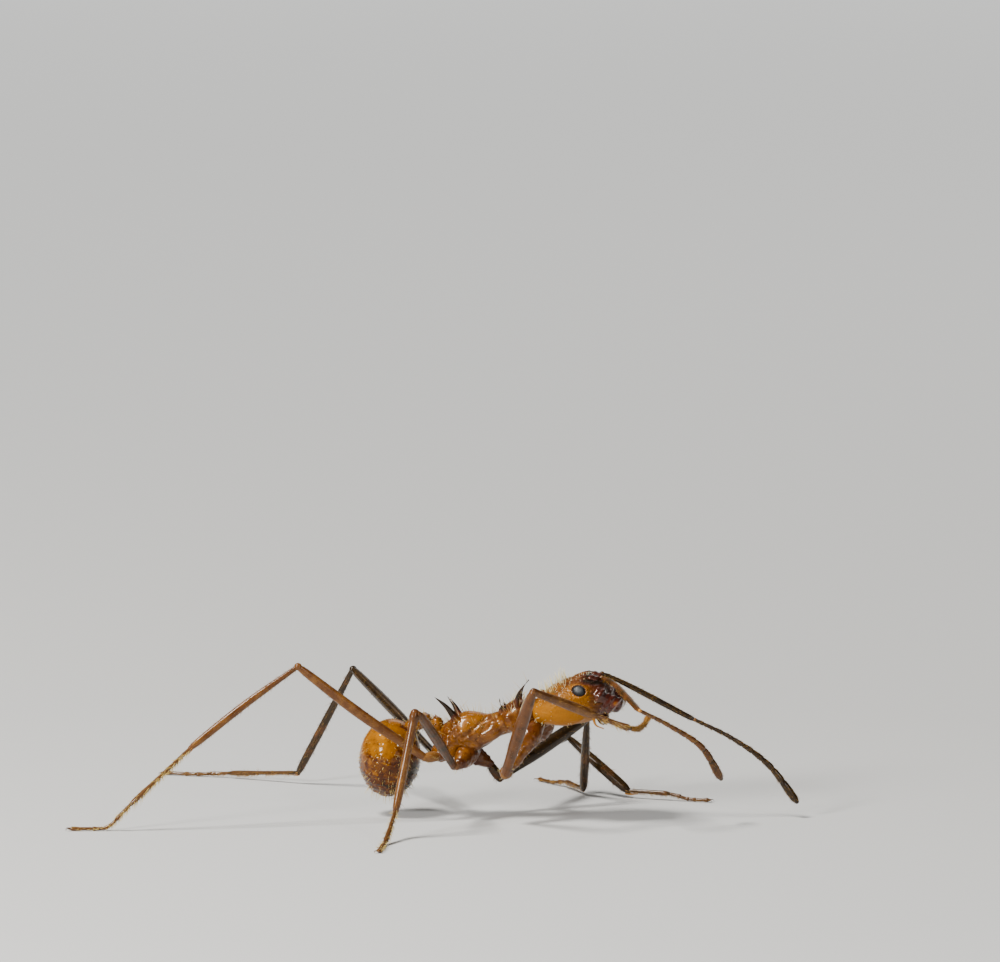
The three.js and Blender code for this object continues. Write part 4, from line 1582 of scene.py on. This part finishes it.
# ------------------------------ gaster
@dataclass
class Gaster:
    """The hanging gaster: a large first plate, then short ones that overlap down to the tip."""

    centre: Triple = (-1.55, 0.0, 2.08)
    half: Triple = (1.1, 1.16, 1.42)  # across, aside and along its own length
    lean: float = 7.0
    margins: tuple[float, ...] = (-0.6, -0.92, -1.14, -1.3)  # where each plate ends, along its length
    step: float = 0.016  # how far a plate's edge stands out over the next
    groove_at: float = 2.25  # where the groove lies round the section, in radians from its hind face
    neck: Knots = ((-0.8, 0, 3.26), (-0.98, 0, 3.06), (-1.2, 0, 2.8))
    sides: int = 150
    pits: int = 760
    blots: int = 190  # darker spots
    bristles: int = 560

    def radius(self, along: Array) -> Array:
        """Returns the section's size, as a share of the widest, at places along its length."""
        share = np.clip(along / self.half[2], -1, 1)
        return np.sqrt(np.clip(1 - np.abs(share) ** 2.05, 0, 1))

    def plates(self, high: float, low: float, rings: int) -> Solid:
        """Returns the plates between two places along the gaster's length.

        Args:
            high: where the first of them starts.
            low: where the last ends.
            rings: how many rings there are.

        Returns:
            The plates, in the body's own frame.
        """
        along = np.linspace(high, low, rings)
        size = self.radius(along)
        edge = np.zeros(rings)
        for margin in self.margins:
            edge += self.step * smoothstep(-along, -margin - 0.16, -margin) * (along > margin)
        angle = np.linspace(0, 2 * math.pi, self.sides, endpoint=False)
        deep, wide, _ = self.half
        # the plates of the back and of the belly meet in a groove low on each side
        groove = bell(np.abs(angle - math.pi) - self.groove_at, 0.05)
        inset = 0.02 * groove[None] * smoothstep(-along, -0.9, -0.4)[:, None]
        reach = size[:, None] + edge[:, None] * 0.8 - inset * 1.2
        rings_of = np.stack([deep * reach * np.cos(angle), wide * reach * np.sin(angle),
                             np.repeat(along[:, None], self.sides, 1)], -1)
        # darker towards the bottom: partly its own colour, partly painted shade
        tone = 0.8 - 0.5 * smoothstep(-along, -0.7, 0.7)
        for margin in self.margins:
            tone -= 0.1 * bell(along - margin - 0.02, 0.035)
        solid = Solid.from_rings(rings_of, tone)
        x, y, z = solid.points.T
        rng = np.random.default_rng(60)
        sites, _ = solid.scatter(int(self.pits * (high - low) / (2 * self.half[2])), seed=61)
        low_sites = sites[rng.random(len(sites)) < smoothstep(-sites[:, 2], -0.5, 0.9)]
        bumps = gathered(solid.points, low_sites, 0.036)
        # painted shade darkens it ahead, where the legs' roots hide it, and painted glints warm the crests of
        # the bumps
        blots = solid.scatter(self.blots, seed=64)[0]
        shade = 0.06 * np.sin(z * 3 + y * 2) - 0.3 * smoothstep(x, -0.1, 0.8) + 0.3 * bumps
        shade = shade - 0.26 * gathered(solid.points, blots, 0.08)
        solid = solid.toned(solid.tone + shade)
        return solid.swollen(0.008 * gathered(solid.points, sites, 0.032) + 0.02 * bumps).moved(self._placed)

    def _placed(self, points: Array) -> Array:
        """Returns points of the gaster's own axes in the body's own frame."""
        return turn(points, 1, self.lean) + vec(self.centre)

    def build(self, body: Framework) -> None:
        """Builds the plates and their bristles.

        Args:
            body: the fixed frame's measures.
        """
        parting = self.margins[0]
        top, tip = self.half[2] * 0.999, -self.half[2] * 0.999
        first = self.plates(top, parting - 0.01, 130)
        neck = Limb.shaped(self.neck, ((0, 0.2), (0.5, 0.26), (1, 0.4)), rings=24, sides=40, tone=0.6).solid()
        sting = horn((0, 0, tip + 0.1), (0.03, 0, tip - 0.07), 0.1, tone=0.3).moved(self._placed)
        hind = Solid.union([self.plates(parting + 0.06, tip, 90), sting])
        hind = hind.moved(lambda points: vec(self.centre) + (points - vec(self.centre)) * 0.985)
        show("gaster_first_plate", Solid.union([first, neck]).moved(body.place), GASTER_SHELL, "gaster_shell",
             "gaster_front")
        show("gaster_hind_plates", hind.moved(body.place), GASTER_SHELL, "gaster_shell", "gaster_tip")
        rng = np.random.default_rng(62)
        roots, normals = Solid.union([first, hind]).scatter(self.bristles, seed=63)
        low = smoothstep(-(roots[:, 2] - self.centre[2]), 0.3, 1.2)
        lengths = rng.uniform(0.07, 0.15, len(roots)) + low**2 * rng.uniform(0.05, 0.26, len(roots))
        ways = strewn(rng, normals, 0.14, (0, 0, -0.4))
        coat = Coat("gaster_bristles", "gaster_shell")
        coat.plant(body, self.centre, roots, ways, lengths, radius=0.009, bend=(0, 0, -0.15), tone=0.6)
        coat.build()


# ------------------------------ feelers
@dataclass
class Feeler:
    """An elbowed feeler: a long first length, then ten short ones that thicken to the tip."""

    name: str
    tone: float
    lengths: tuple[float, ...] = (0.42, 0.4, 0.42, 0.42, 0.44, 0.46, 0.48, 0.52, 0.58, 0.95)  # in proportion
    scape: Knots = (  # the first length's radius at shares of it
        (0, 0.055), (0.05, 0.09), (0.11, 0.08), (0.3, 0.1), (0.6, 0.108), (0.85, 0.1), (0.96, 0.09),
        (1, 0.06),
    )
    club: float = 0.333  # the share of the short lengths' path that the club takes
    shifts: dict[str, Triple] = field(default_factory=dict)  # where a slender joint lies in its thick length
    bowed: float = 0.05  # how far the first length bows ahead
    fuzz: int = 900

    def build(self, body: Framework) -> None:
        """Builds the feeler, its ball joint and its fuzz.

        Args:
            body: the fixed frame's measures.
        """
        elbow, way, reach = body.far_end(f"scape_{self.name}", body.middle("head"))
        root = elbow - way * (reach - 0.12)
        elbow = elbow + self.shifts.get("elbow", (0, 0, 0))
        ahead = unit(way * (1, 1, 0)) * self.bowed
        knots = (root, root + (elbow - root) * 0.16 + ahead + UP * self.bowed * 0.4,
                 root + (elbow - root) * 0.42 + ahead * 0.9 + UP * self.bowed * 0.4, elbow - way * 0.3, elbow)
        scape = Limb.shaped(knots, self.scape, rings=60, sides=24, tone=self.tone * 0.8)
        ball = ellipsoid(root - way * 0.03, (0.085, 0.085, 0.085), tone=self.tone + 0.2)
        pale_bead = ellipsoid(elbow + way * 0.02, (0.075, 0.075, 0.075), tone=self.tone + 0.45)
        cover(f"scape_{self.name}", Solid.union([scape.solid(), ball, pale_bead]), LEG_SHELL, "feeler_shell")

        far, _, _ = body.far_end(f"funiculus_{self.name}", elbow)
        near = body.waypoint(f"funiculus_{self.name}", elbow, far)
        tip, tip_way, _ = body.far_end(f"antenna_club_{self.name}", far)
        stops = {"near": near, "far": far, "tip": tip + tip_way * 0.08}
        knots = [place + vec(self.shifts.get(stop, (0, 0, 0))) for stop, place in stops.items()]
        path = path_through((elbow, *knots), 400)
        ends = np.concatenate([[0], np.cumsum(self.lengths)]) / sum(self.lengths)
        beads: dict[str, list[Limb]] = {f"funiculus_{self.name}": [], f"antenna_club_{self.name}": []}
        for start, end in zip(ends[:-1], ends[1:]):
            part = "antenna_club" if (start + end) / 2 > 1 - self.club else "funiculus"
            beads[f"{part}_{self.name}"].append(self._bead(path, start, end, last=end > 0.999))
        for node, limbs in beads.items():
            cover(node, Solid.union([limb.solid() for limb in limbs]), LEG_SHELL, "feeler_shell")
        self._fuzzed([scape] + [limb for limbs in beads.values() for limb in limbs])

    def _bead(self, path: Array, start: float, end: float, last: bool) -> Limb:
        """Shapes one short length.

        Args:
            path: the short lengths' centre line.
            start: the share of the path where it starts.
            end: the share where it ends.
            last: whether it is the tip.

        Returns:
            The length.
        """
        span = np.array((start, end)) * (len(path) - 1)
        knots = path[np.linspace(*span, 7).round().astype(int)]
        wide = 0.066 + 0.084 * ((start + end) / 2) ** 1.4
        stations = ((0, 0.76), (0.14, 0.9), (0.5, 0.99), (0.84, 1.05), (1, 0.82))
        if last:
            stations = ((0, 0.76), (0.12, 0.94), (0.5, 1.04), (0.84, 0.96), (1, 0.62))
        shares = np.linspace(0, 1, 22)
        tone = self.tone + 0.05 * shares - 0.12 * (shares > 0.93) - 0.08 * (shares < 0.06) - 0.08 * end**3
        return Limb.shaped(knots, scaled(stations, wide), rings=22, sides=22, tone=tone)

    def _fuzzed(self, limbs: list[Limb]) -> None:
        """Grows short slanting fuzz along the lengths.

        Args:
            limbs: the lengths, from the root out.
        """
        rng = np.random.default_rng(71 if self.name == "right" else 72)
        coat = Coat(f"feeler_fuzz_{self.name}", "feeler_shell")
        total = sum(limb.reach() for limb in limbs)
        for band, limb in enumerate(limbs):
            count = int(self.fuzz * limb.reach() / total)
            roots, out, along, share, angle = limb.scatter(count, rng)
            ways = unit(out * 0.62 + along * 0.78 + rng.normal(0, 0.12, out.shape))
            lengths = rng.uniform(0.05, 0.11, count)
            unwrap = np.stack([(band + share) / len(limbs), angle], axis=1)
            coat.grow(roots, ways, lengths, 0.0052, unwrap, bend=along * 0.2, tone=self.tone * 0.4)
        coat.build()


# ------------------------------ legs
Places = dict[str, Array]


@dataclass(frozen=True)
class Brush:
    """How the bristles of one length stand."""

    density: float  # how many in a millimetre of its length
    longest: float
    lean: float  # how far they slant along it
    radius: float
    under: float  # how much they gather on its lower side
    tone: float


@dataclass
class Leg:
    """A leg from hip to claws, built along the lengths that the fixed frame holds."""

    name: str
    side: int
    tone: float
    thigh: float  # the femur's greatest radius
    shin: float  # the tibia's greatest radius
    hip_radii: Knots
    hip_tone: float
    lifted: bool = False
    shifts: dict[str, Triple] = field(default_factory=dict)  # where a slender joint lies in its thick length
    toe: float = 0.078  # the tarsus's radius
    arched: float = 0.03  # how far the thigh's middle stands up
    sprung: float = 0.0  # the same for the shin
    root: float = 0.14  # the thigh's radius at its base
    neck: float = 0.1  # the shin's radius at the knee
    faded: float = 0.0  # how much paler the thigh is

    def joints(self, body: Framework) -> Places:
        """Finds the leg's joints.

        Args:
            body: the fixed frame's measures.

        Returns:
            Each joint's place, from the hip out.
        """
        hinge, coxa_way, coxa_reach = body.far_end(f"coxa_{self.name}", body.middle("mesothorax"))
        knee, thigh_way, thigh_reach = body.far_end(f"femur_{self.name}", hinge)
        ankle, _, _ = body.far_end(f"tibia_{self.name}", knee)
        ball, _, _ = body.far_end(f"heel_{self.name}", ankle)
        toe, _, _ = body.far_end(f"foot_{self.name}", ball)
        arch = body.waypoint(f"foot_{self.name}", ball, toe)
        found = {
            "hip": hinge - coxa_way * coxa_reach, "hinge": hinge, "thigh": knee - thigh_way * thigh_reach,
            "knee": knee, "ankle": ankle, "ball": ball, "arch": arch, "toe": toe,
        }
        if not self.lifted:
            fall = arch[2] - self.toe - 0.012
            for name, share in (("ball", 0.7), ("arch", 1), ("toe", 1)):
                found[name] = found[name] - UP * fall * share
            found["toe"] = found["toe"] * (1, 1, 0) + UP * (self.toe + 0.012)
        found["crook"] = found["knee"]
        for name, shift in self.shifts.items():
            found[name] = found[name] + shift
        return found

    def build(self, body: Framework) -> None:
        """Builds the leg's shells, spurs, claws and bristles.

        Args:
            body: the fixed frame's measures.
        """
        at = self.joints(body)
        tone = self.tone
        coxa, hip = self._hip(at)
        cover(f"coxa_{self.name}", hip, SHELL, "trunk_shell")
        thigh, shin = self._thigh(at), self._shin(at)
        stations = scaled(((0, 0.8), (0.3, 1.2), (0.75, 1.25), (1, 0.95)), self.root)
        trochanter = Limb.shaped((at["hinge"], at["thigh"]), stations, rings=24, sides=28,
                                 tone=tone + 0.1 + 0.1 * ("hind" in self.name))
        # only the near legs' knees are lighter; the far knees keep the far side's painted shade
        knee_tone = tone + 0.12 * (tone > 0.4)
        knee_cap = ellipsoid((at["knee"] + at["crook"]) / 2, (0.14, 0.13, 0.14), tone=knee_tone)
        femur = Solid.union([trochanter.solid(), thigh.solid(), knee_cap])
        cover(f"femur_{self.name}", femur, LEG_SHELL, "leg_shell")
        cover(f"tibia_{self.name}", Solid.union([shin.solid(), *self._spurs(at)]), LEG_SHELL, "leg_shell")
        toes = self._toes(at)
        cover(f"heel_{self.name}", toes[0].solid(), FOOT_SHELL, "foot_shell")
        foot = Solid.union([toe.solid() for toe in toes[1:]] + self._claws(toes[-1]))
        cover(f"foot_{self.name}", foot, FOOT_SHELL, "foot_shell")
        self._bristled(coxa, trochanter, thigh, shin, toes)

    def _hip(self, at: Places) -> tuple[Limb, Solid]:
        """Shapes the coxa, with its shallow bumps, and the hoop at its end.

        Args:
            at: the leg's joints.

        Returns:
            The smooth coxa, and the finished hip.
        """
        near = self.side < 0
        middle = (at["hip"] * 0.5 + at["hinge"] * 0.5) + UP * 0.02
        stations = scaled(self.hip_radii, 1.0 if near else 0.82)
        shares = np.linspace(0, 1, 50)
        warm = self.hip_tone + 0.14 * smoothstep(shares, 0.3, 0.7)
        coxa = Limb.shaped((at["hip"], middle, at["hinge"]), stations, rings=50, sides=36, across=UP,
                           tone=warm - 0.12 * smoothstep(shares, 0.93, 1.0))
        # the hoop is darker on the far side: painted shade
        hoop = ellipsoid(at["hinge"], (self.root, self.root, self.root), tone=0.42 if near else 0.2)
        hip = coxa.solid()
        sites, _ = hip.scatter(90, seed=80)
        return coxa, Solid.union([hip.swollen(0.035 * gathered(hip.points, sites, 0.06)), hoop])

    def _thigh(self, at: Places) -> Limb:
        """Shapes the femur: slender at its base, then spindle-shaped.

        Args:
            at: the leg's joints.

        Returns:
            The thigh.
        """
        start, end = at["thigh"], at["crook"]
        middle = (start + end) / 2 + UP * self.arched
        wide, base = self.thigh, self.root
        stations = ((0, base * 0.9), (0.06, base), (0.2, max(wide * 0.72, base * 1.04)),
                    *scaled(((0.4, 0.97), (0.6, 1.0), (0.82, 0.88), (0.94, 0.76), (1, 0.56)), wide))
        shares = np.linspace(0, 1, 64)
        shade = self.tone - 0.05 + 0.05 * smoothstep(shares, 0.2, 0.9) + self.faded
        return Limb.shaped((start, middle, end), stations, rings=64, sides=36, tone=shade, flat=0.9)

    def _shin(self, at: Places) -> Limb:
        """Shapes the tibia: a narrow bent neck at the knee, widest past its middle.

        Args:
            at: the leg's joints.

        Returns:
            The shin.
        """
        start, end = at["knee"], at["ankle"]
        way = unit(end - start)
        wide, neck = self.shin, self.neck
        stations = ((0, neck * 0.9), (0.04, neck), (0.11, (wide * 0.78 + neck) / 2),
                    *scaled(((0.4, 0.93), (0.7, 1.0), (0.93, 0.9), (1, 0.64)), wide))
        shares = np.linspace(0, 1, 64)
        shade = self.tone + 0.04 + 0.06 * smoothstep(shares, 0.2, 0.7) - 0.04 * (shares < 0.06)
        shade = shade - 0.05 * smoothstep(shares, 0.96, 1)
        bent = -0.02 if self.lifted else 0.02
        knots = (start, start + way * 0.3 + UP * bent, (start + end) / 2 + UP * self.sprung, end)
        return Limb.shaped(knots, stations, rings=64, sides=32, tone=shade, flat=0.92)

    def _spurs(self, at: Places) -> list[Solid]:
        """Shapes the tibia's end spur and short spines, which lean along the foot.

        Args:
            at: the leg's joints.

        Returns:
            The spur, then the spines.
        """
        shin, heel = unit(at["ankle"] - at["knee"]), unit(at["ball"] - at["ankle"])
        under = unit(-UP + heel * heel[2])
        aside = np.cross(heel, under)
        front = "front" in self.name
        size, drop = (0.46, 0.34) if self.lifted else (0.4, 0.1) if front else (0.26, 0.08)
        base = at["ankle"] - heel * 0.04 + under * self.shin * 0.5
        tip = at["ankle"] + heel * size + under * drop
        bow = under * drop * 0.3 - heel * 0.05
        spurs = [horn(base, tip, 0.07 if front else 0.03, bow, tone=1.0, point=0.3)]
        way = unit(shin * 0.5 + heel)
        for turned in (-1.4, -0.7, 0.7, 1.4):
            out = (under * math.cos(turned) + aside * math.sin(turned)) * self.shin * 0.6
            foot = at["ankle"] - shin * 0.04 + out
            spurs.append(horn(foot, foot + way * 0.13 + (foot - at["ankle"]) * 0.3, 0.016, tone=0.95))
        return spurs

    def _toes(self, at: Places) -> list[Limb]:
        """Shapes the five lengths of the tarsus, each flared towards its end.

        Args:
            at: the leg's joints.

        Returns:
            The lengths, from the ankle out.
        """
        path = path_through([at[joint] for joint in ("ankle", "ball", "arch", "toe")], 500)
        if not self.lifted:
            path[:, 2] = np.maximum(path[:, 2], self.toe + 0.006)
        whole = np.linalg.norm(np.diff(path, axis=0), axis=1).sum()
        heel_share = np.linalg.norm(at["ball"] - at["ankle"]) / whole
        rest = np.cumsum((0.0, 0.3, 0.21, 0.17, 0.32)) * (1 - heel_share) + heel_share
        toes = []
        for start, end in zip((0.0, *rest[:-1]), rest):
            knots = path[(np.linspace(start, end, 9) * (len(path) - 1)).round().astype(int)]
            wide = self.toe * (1.12 if start == 0 else 0.92)
            stations = scaled(((0, 0.7), (0.1, 0.78), (0.55, 0.84), (0.88, 1.08), (1, 0.7)), wide)
            count = 50 if start == 0 else 20
            shares = np.linspace(0, 1, count)
            # the far side's toes are darker: painted shade
            shade = 0.34 + 0.14 * (self.side < 0) + 0.1 * shares - 0.2 * (shares > 0.94)
            if self.lifted and start:
                shade = 0.72 + 0.06 * shares
            toes.append(Limb.shaped(knots, stations, rings=count, sides=20, tone=shade - (start == 0) * 0.1))
        return toes

    def _claws(self, last: Limb) -> list[Solid]:
        """Shapes the two claws and the pad between them.

        Args:
            last: the tarsus's last length.

        Returns:
            The pad, then the claws.
        """
        tip = last.path[-1]
        way = unit(last.path[-1] - last.path[-4])
        under = unit(np.cross(way, np.cross(UP, way))) if self.lifted else -UP
        aside = unit(np.cross(way, under))
        claws = [ellipsoid(tip + way * 0.03, (0.05, 0.05, 0.04), tone=0.6)]
        reach, spread = (0.1, 0.07) if self.lifted else (0.17, 0.13)  # folded into the brush when lifted
        for sign in (-1, 1):
            base = tip + aside * 0.03 * sign
            hook = tip + way * reach + aside * spread * sign + under * 0.07
            bow = way * 0.03 + aside * 0.05 * sign - under * 0.04
            claws.append(horn(base, hook, 0.028, bow, tone=0.25))
        return claws

    def _bristled(self, coxa: Limb, trochanter: Limb, thigh: Limb, shin: Limb, toes: list[Limb]) -> None:
        """Grows sparse bristles on the hip and thigh, more on the shin and a dense brush on the toes.

        Args:
            coxa: the hip.
            trochanter: the short length between hip and thigh.
            thigh: the femur.
            shin: the tibia.
            toes: the tarsus's lengths.
        """
        rng = np.random.default_rng(81 + sum(map(ord, self.name)))
        coat = Coat(f"leg_bristles_{self.name}", "leg_shell")
        # the far side's bristles are darker: painted shade
        pale = 1.0 if self.side < 0 else 0.35
        plan = [(coxa, Brush(22, 0.16, 0.5, 0.008, 0.0, 0.3 * pale)),
                (trochanter, Brush(40, 0.2, 0.45, 0.009, 0.6, 0.7 * pale)),
                (thigh, Brush(34, 0.12, 0.5, 0.006, 0.1, 0.05)),
                (shin, Brush(64, 0.16, 0.5, 0.0065, 0.15, 0.12 * pale))]
        if self.lifted:
            plan += [(toes[0], Brush(90, 0.2, 0.5, 0.008, 0.75, 0.42))]
            plan += [(toe, Brush(520, 0.09, 0.5, 0.008, 0.1, 0.16)) for toe in toes[1:]]
        else:
            size, thick = (0.19, 0.011) if self.side < 0 else (0.13, 0.008)
            plan += [(toe, Brush(110, size, 0.45, thick, 0.8, 0.58 * pale)) for toe in toes]
        for band, (limb, brush) in enumerate(plan):
            count = int(brush.density * limb.reach()) + 4
            roots, out, along, share, angle = limb.scatter(count, rng, under=brush.under)
            tilt = rng.uniform(brush.lean * 0.6, min(brush.lean * 1.3, 0.9), (count, 1))
            ways = unit(out * (1 - tilt) + along * tilt + rng.normal(0, 0.1, out.shape))
            size = rng.uniform(0.4, 1.0, count) * brush.longest * (1 + (rng.random(count) < 0.06) * 0.9)
            unwrap = np.stack([(band + share) / len(plan), angle], axis=1)
            coat.grow(roots, ways, size, brush.radius, unwrap, bend=along * 0.15, tone=brush.tone)
        coat.build()


# ------------------------------ the studio
@dataclass(frozen=True)
class Lamp:
    """A square lamp that faces the model."""

    name: str
    place: Triple
    size: float  # its width
    power: float  # in watts
    colour: Colour

    def hang(self) -> None:
        """Hangs the lamp."""
        light = bpy.data.lights.new(self.name, "AREA")
        light.size, light.energy, light.color = self.size * MM, self.power, self.colour
        lamp = placed(self.name, light)
        lamp.location = Vector(self.place) * MM
        lamp.rotation_mode = "QUATERNION"
        lamp.rotation_quaternion = (Vector((0, 0, 3 * MM)) - lamp.location).to_track_quat("-Z", "Y")


@dataclass
class Studio:
    """A pale floor, soft lamps and the camera."""

    elevation: float = 8.0  # the camera looks along +Y and down by this
    distance: float = 900.0
    lens: float = 900.0
    ahead: float = 2.38  # what the camera looks at: this far ahead of the frame's middle, and this high
    above: float = 12.12
    floor_half: float = 3000.0
    far_glow: float = 0.95  # how much the floor glows where the lamps no longer reach
    lamps: tuple[Lamp, ...] = (
        Lamp("key", (-88, -31, 176), 48, 0.55, (1.0, 0.97, 0.93)),
        Lamp("front", (-120, -140, 78), 42, 0.4, (1.0, 0.98, 0.96)),
        Lamp("fill", (100, -170, 60), 80, 0.03, (1.0, 0.98, 0.96)),
        Lamp("side", (110, -160, 110), 12, 0.05, (0.96, 0.97, 1.0)),
        Lamp("rim", (30, 150, 110), 90, 0.03, (1.0, 0.98, 0.96)),
    )

    def build(self) -> None:
        """Builds the floor, the lamps, the pale surroundings and the camera."""
        self._floor()
        self._surroundings()
        for lamp in self.lamps:
            lamp.hang()
        self._camera()

    def _floor(self) -> None:
        """Lays the floor, which stays as pale far away as it is near the model."""
        half = self.floor_half
        corners = vec(((-half, -half, 0), (half, -half, 0), (half, half, 0), (-half, half, 0)))
        mesh = bpy.data.meshes.new("floor")
        mesh.from_pydata((corners * MM).tolist(), [], [(0, 1, 2, 3)])
        floor = placed("floor", mesh)
        wiring = Wiring.named("floor")
        place = wiring.add("TexCoord", {}).outputs["Object"]
        away = wiring.add("VectorMath", {0: place}, operation="LENGTH").outputs["Value"]
        reach = {"From Min": 30 * MM, "From Max": 330 * MM, "To Max": self.far_glow}
        wiring.feed(wiring.shader, {
            "Base Color": (0.64, 0.645, 0.633, 1),
            "Roughness": 0.8,
            "Emission Color": (0.99, 1, 0.985, 1),
            "Emission Strength": wiring.add("MapRange", {"Value": away, **reach}).outputs["Result"],
        })
        wiring.material.cycles.emission_sampling = "NONE"
        mesh.materials.append(wiring.material)

    def _surroundings(self) -> None:
        """Makes the surroundings pale."""
        world = bpy.data.worlds.new("studio")
        world.use_nodes = True
        sky = world.node_tree.nodes["Background"]
        sky.inputs["Color"].default_value = (1.0, 0.985, 0.96, 1)
        sky.inputs["Strength"].default_value = 0.09
        bpy.context.scene.world = world

    def _camera(self) -> None:
        """Sets the camera where it sees the ant low in a wide space, as it walks to the right."""
        data = bpy.data.cameras.new("camera")
        data.lens, data.clip_start, data.clip_end = self.lens, 0.01, 10
        camera = placed("camera", data)
        tilt = math.radians(self.elevation)
        back = Vector((0, -math.cos(tilt), math.sin(tilt)))
        camera.location = (Vector((self.ahead, 0, self.above)) + back * self.distance) * MM
        camera.rotation_mode = "QUATERNION"
        camera.rotation_quaternion = (-back).to_track_quat("-Z", "Y")
        bpy.context.scene.camera = camera


# ------------------------------ the ant
# the far side's legs and feelers take a darker tone than the near side's: painted shade
NEAR_TONE, FAR_SHADED_TONE = 0.5, 0.24
HIPS = {  # radius at shares of the coxa's length
    "front": ((0, 0.3), (0.15, 0.38), (0.32, 0.38), (0.5, 0.31), (0.75, 0.28), (0.92, 0.22), (1, 0.17)),
    "middle": ((0, 0.34), (0.25, 0.39), (0.55, 0.37), (0.85, 0.28), (1, 0.2)),
    "hind": ((0, 0.26), (0.25, 0.34), (0.55, 0.33), (0.85, 0.24), (1, 0.19)),
}
# the far side's middle and hind hips have much lower hip tones than the near side's: painted shade
LEGS: dict[str, dict[str, float]] = {
    "front_right": {"thigh": 0.25, "shin": 0.178, "hip_tone": 0.36, "root": 0.19, "neck": 0.14, "toe": 0.105,
                    "lifted": True},
    "middle_right": {"thigh": 0.205, "shin": 0.165, "hip_tone": 0.3, "root": 0.15, "neck": 0.2,
                     "faded": -0.06},
    "hind_right": {"thigh": 0.19, "shin": 0.14, "hip_tone": 0.36, "root": 0.155, "neck": 0.085,
                   "faded": 0.12, "arched": -0.1, "sprung": 0.08},
    "front_left": {"thigh": 0.25, "shin": 0.19, "hip_tone": 0.33},
    "middle_left": {"thigh": 0.25, "shin": 0.175, "hip_tone": 0.16},
    "hind_left": {"thigh": 0.2, "shin": 0.15, "hip_tone": 0.16},
}
SHIFTS = {  # where the slender joints lie beside the middle of the frame's thick lengths
    "front_right": {"hip": (-0.3, 0.0, 0.2), "hinge": (-0.12, 0.0, -0.1), "thigh": (-0.1, 0.0, 0.15),
                    "crook": (-0.13, 0.0, 0.04), "knee": (-0.08, 0.0, 0.13), "ankle": (-0.04, 0.0, 0.05),
                    "ball": (-0.1, 0.0, 0.17), "arch": (0.0, 0.0, -0.11), "toe": (-0.1, 0.0, -0.06)},
    "middle_right": {"hip": (0.04, 0.0, 0.08), "hinge": (0.1, 0.0, 0.06), "thigh": (0.22, 0.0, 0.05),
                     "crook": (0.28, 0.0, 0.04), "knee": (0.11, 0.0, 0.08)},
    "hind_right": {"hinge": (0.1, 0.0, 0.16), "thigh": (-0.28, 0.0, 0.32)},
    "front_left": {"hip": (0.05, 0.0, 0.2), "ankle": (-0.15, 0.0, -0.2)},
    "middle_left": {"ankle": (0.08, 0.0, -0.34), "ball": (0.0, 0.0, -0.08)},
    "hind_left": {"hinge": (0.0, 0.0, 0.15)},
    "right": {"elbow": (-0.06, 0.0, 0.06), "near": (0.0, 0.0, 0.1), "far": (0.1, 0.0, 0.14),
              "tip": (-0.14, 0.0, 0.06)},
    "left": {"elbow": (0.0, 0.0, -0.06)},
}


def main() -> None:
    """Builds the ant and its studio, and finishes the scene."""
    logging.basicConfig(level=logging.INFO, format="%(name)s: %(message)s")
    head = Head()
    body = Framework(head.eyes_at())
    Studio().build()
    head.build(body)
    Jaws().build(body)
    Thorax().build(body)
    Waist().build(body)
    Gaster().build(body)
    for name, side in SIDES:
        # the far side's legs and feeler are toned darker: painted shade
        tone = NEAR_TONE if side < 0 else FAR_SHADED_TONE
        Feeler(name, tone, shifts=SHIFTS[name], bowed=0.24 if side < 0 else 0.05).build(body)
        for pair, hip in HIPS.items():
            leg = f"{pair}_{name}"
            Leg(leg, side, tone, hip_radii=hip, shifts=SHIFTS[leg], **LEGS[leg]).build(body)


if __name__ == "__main__":
    main()
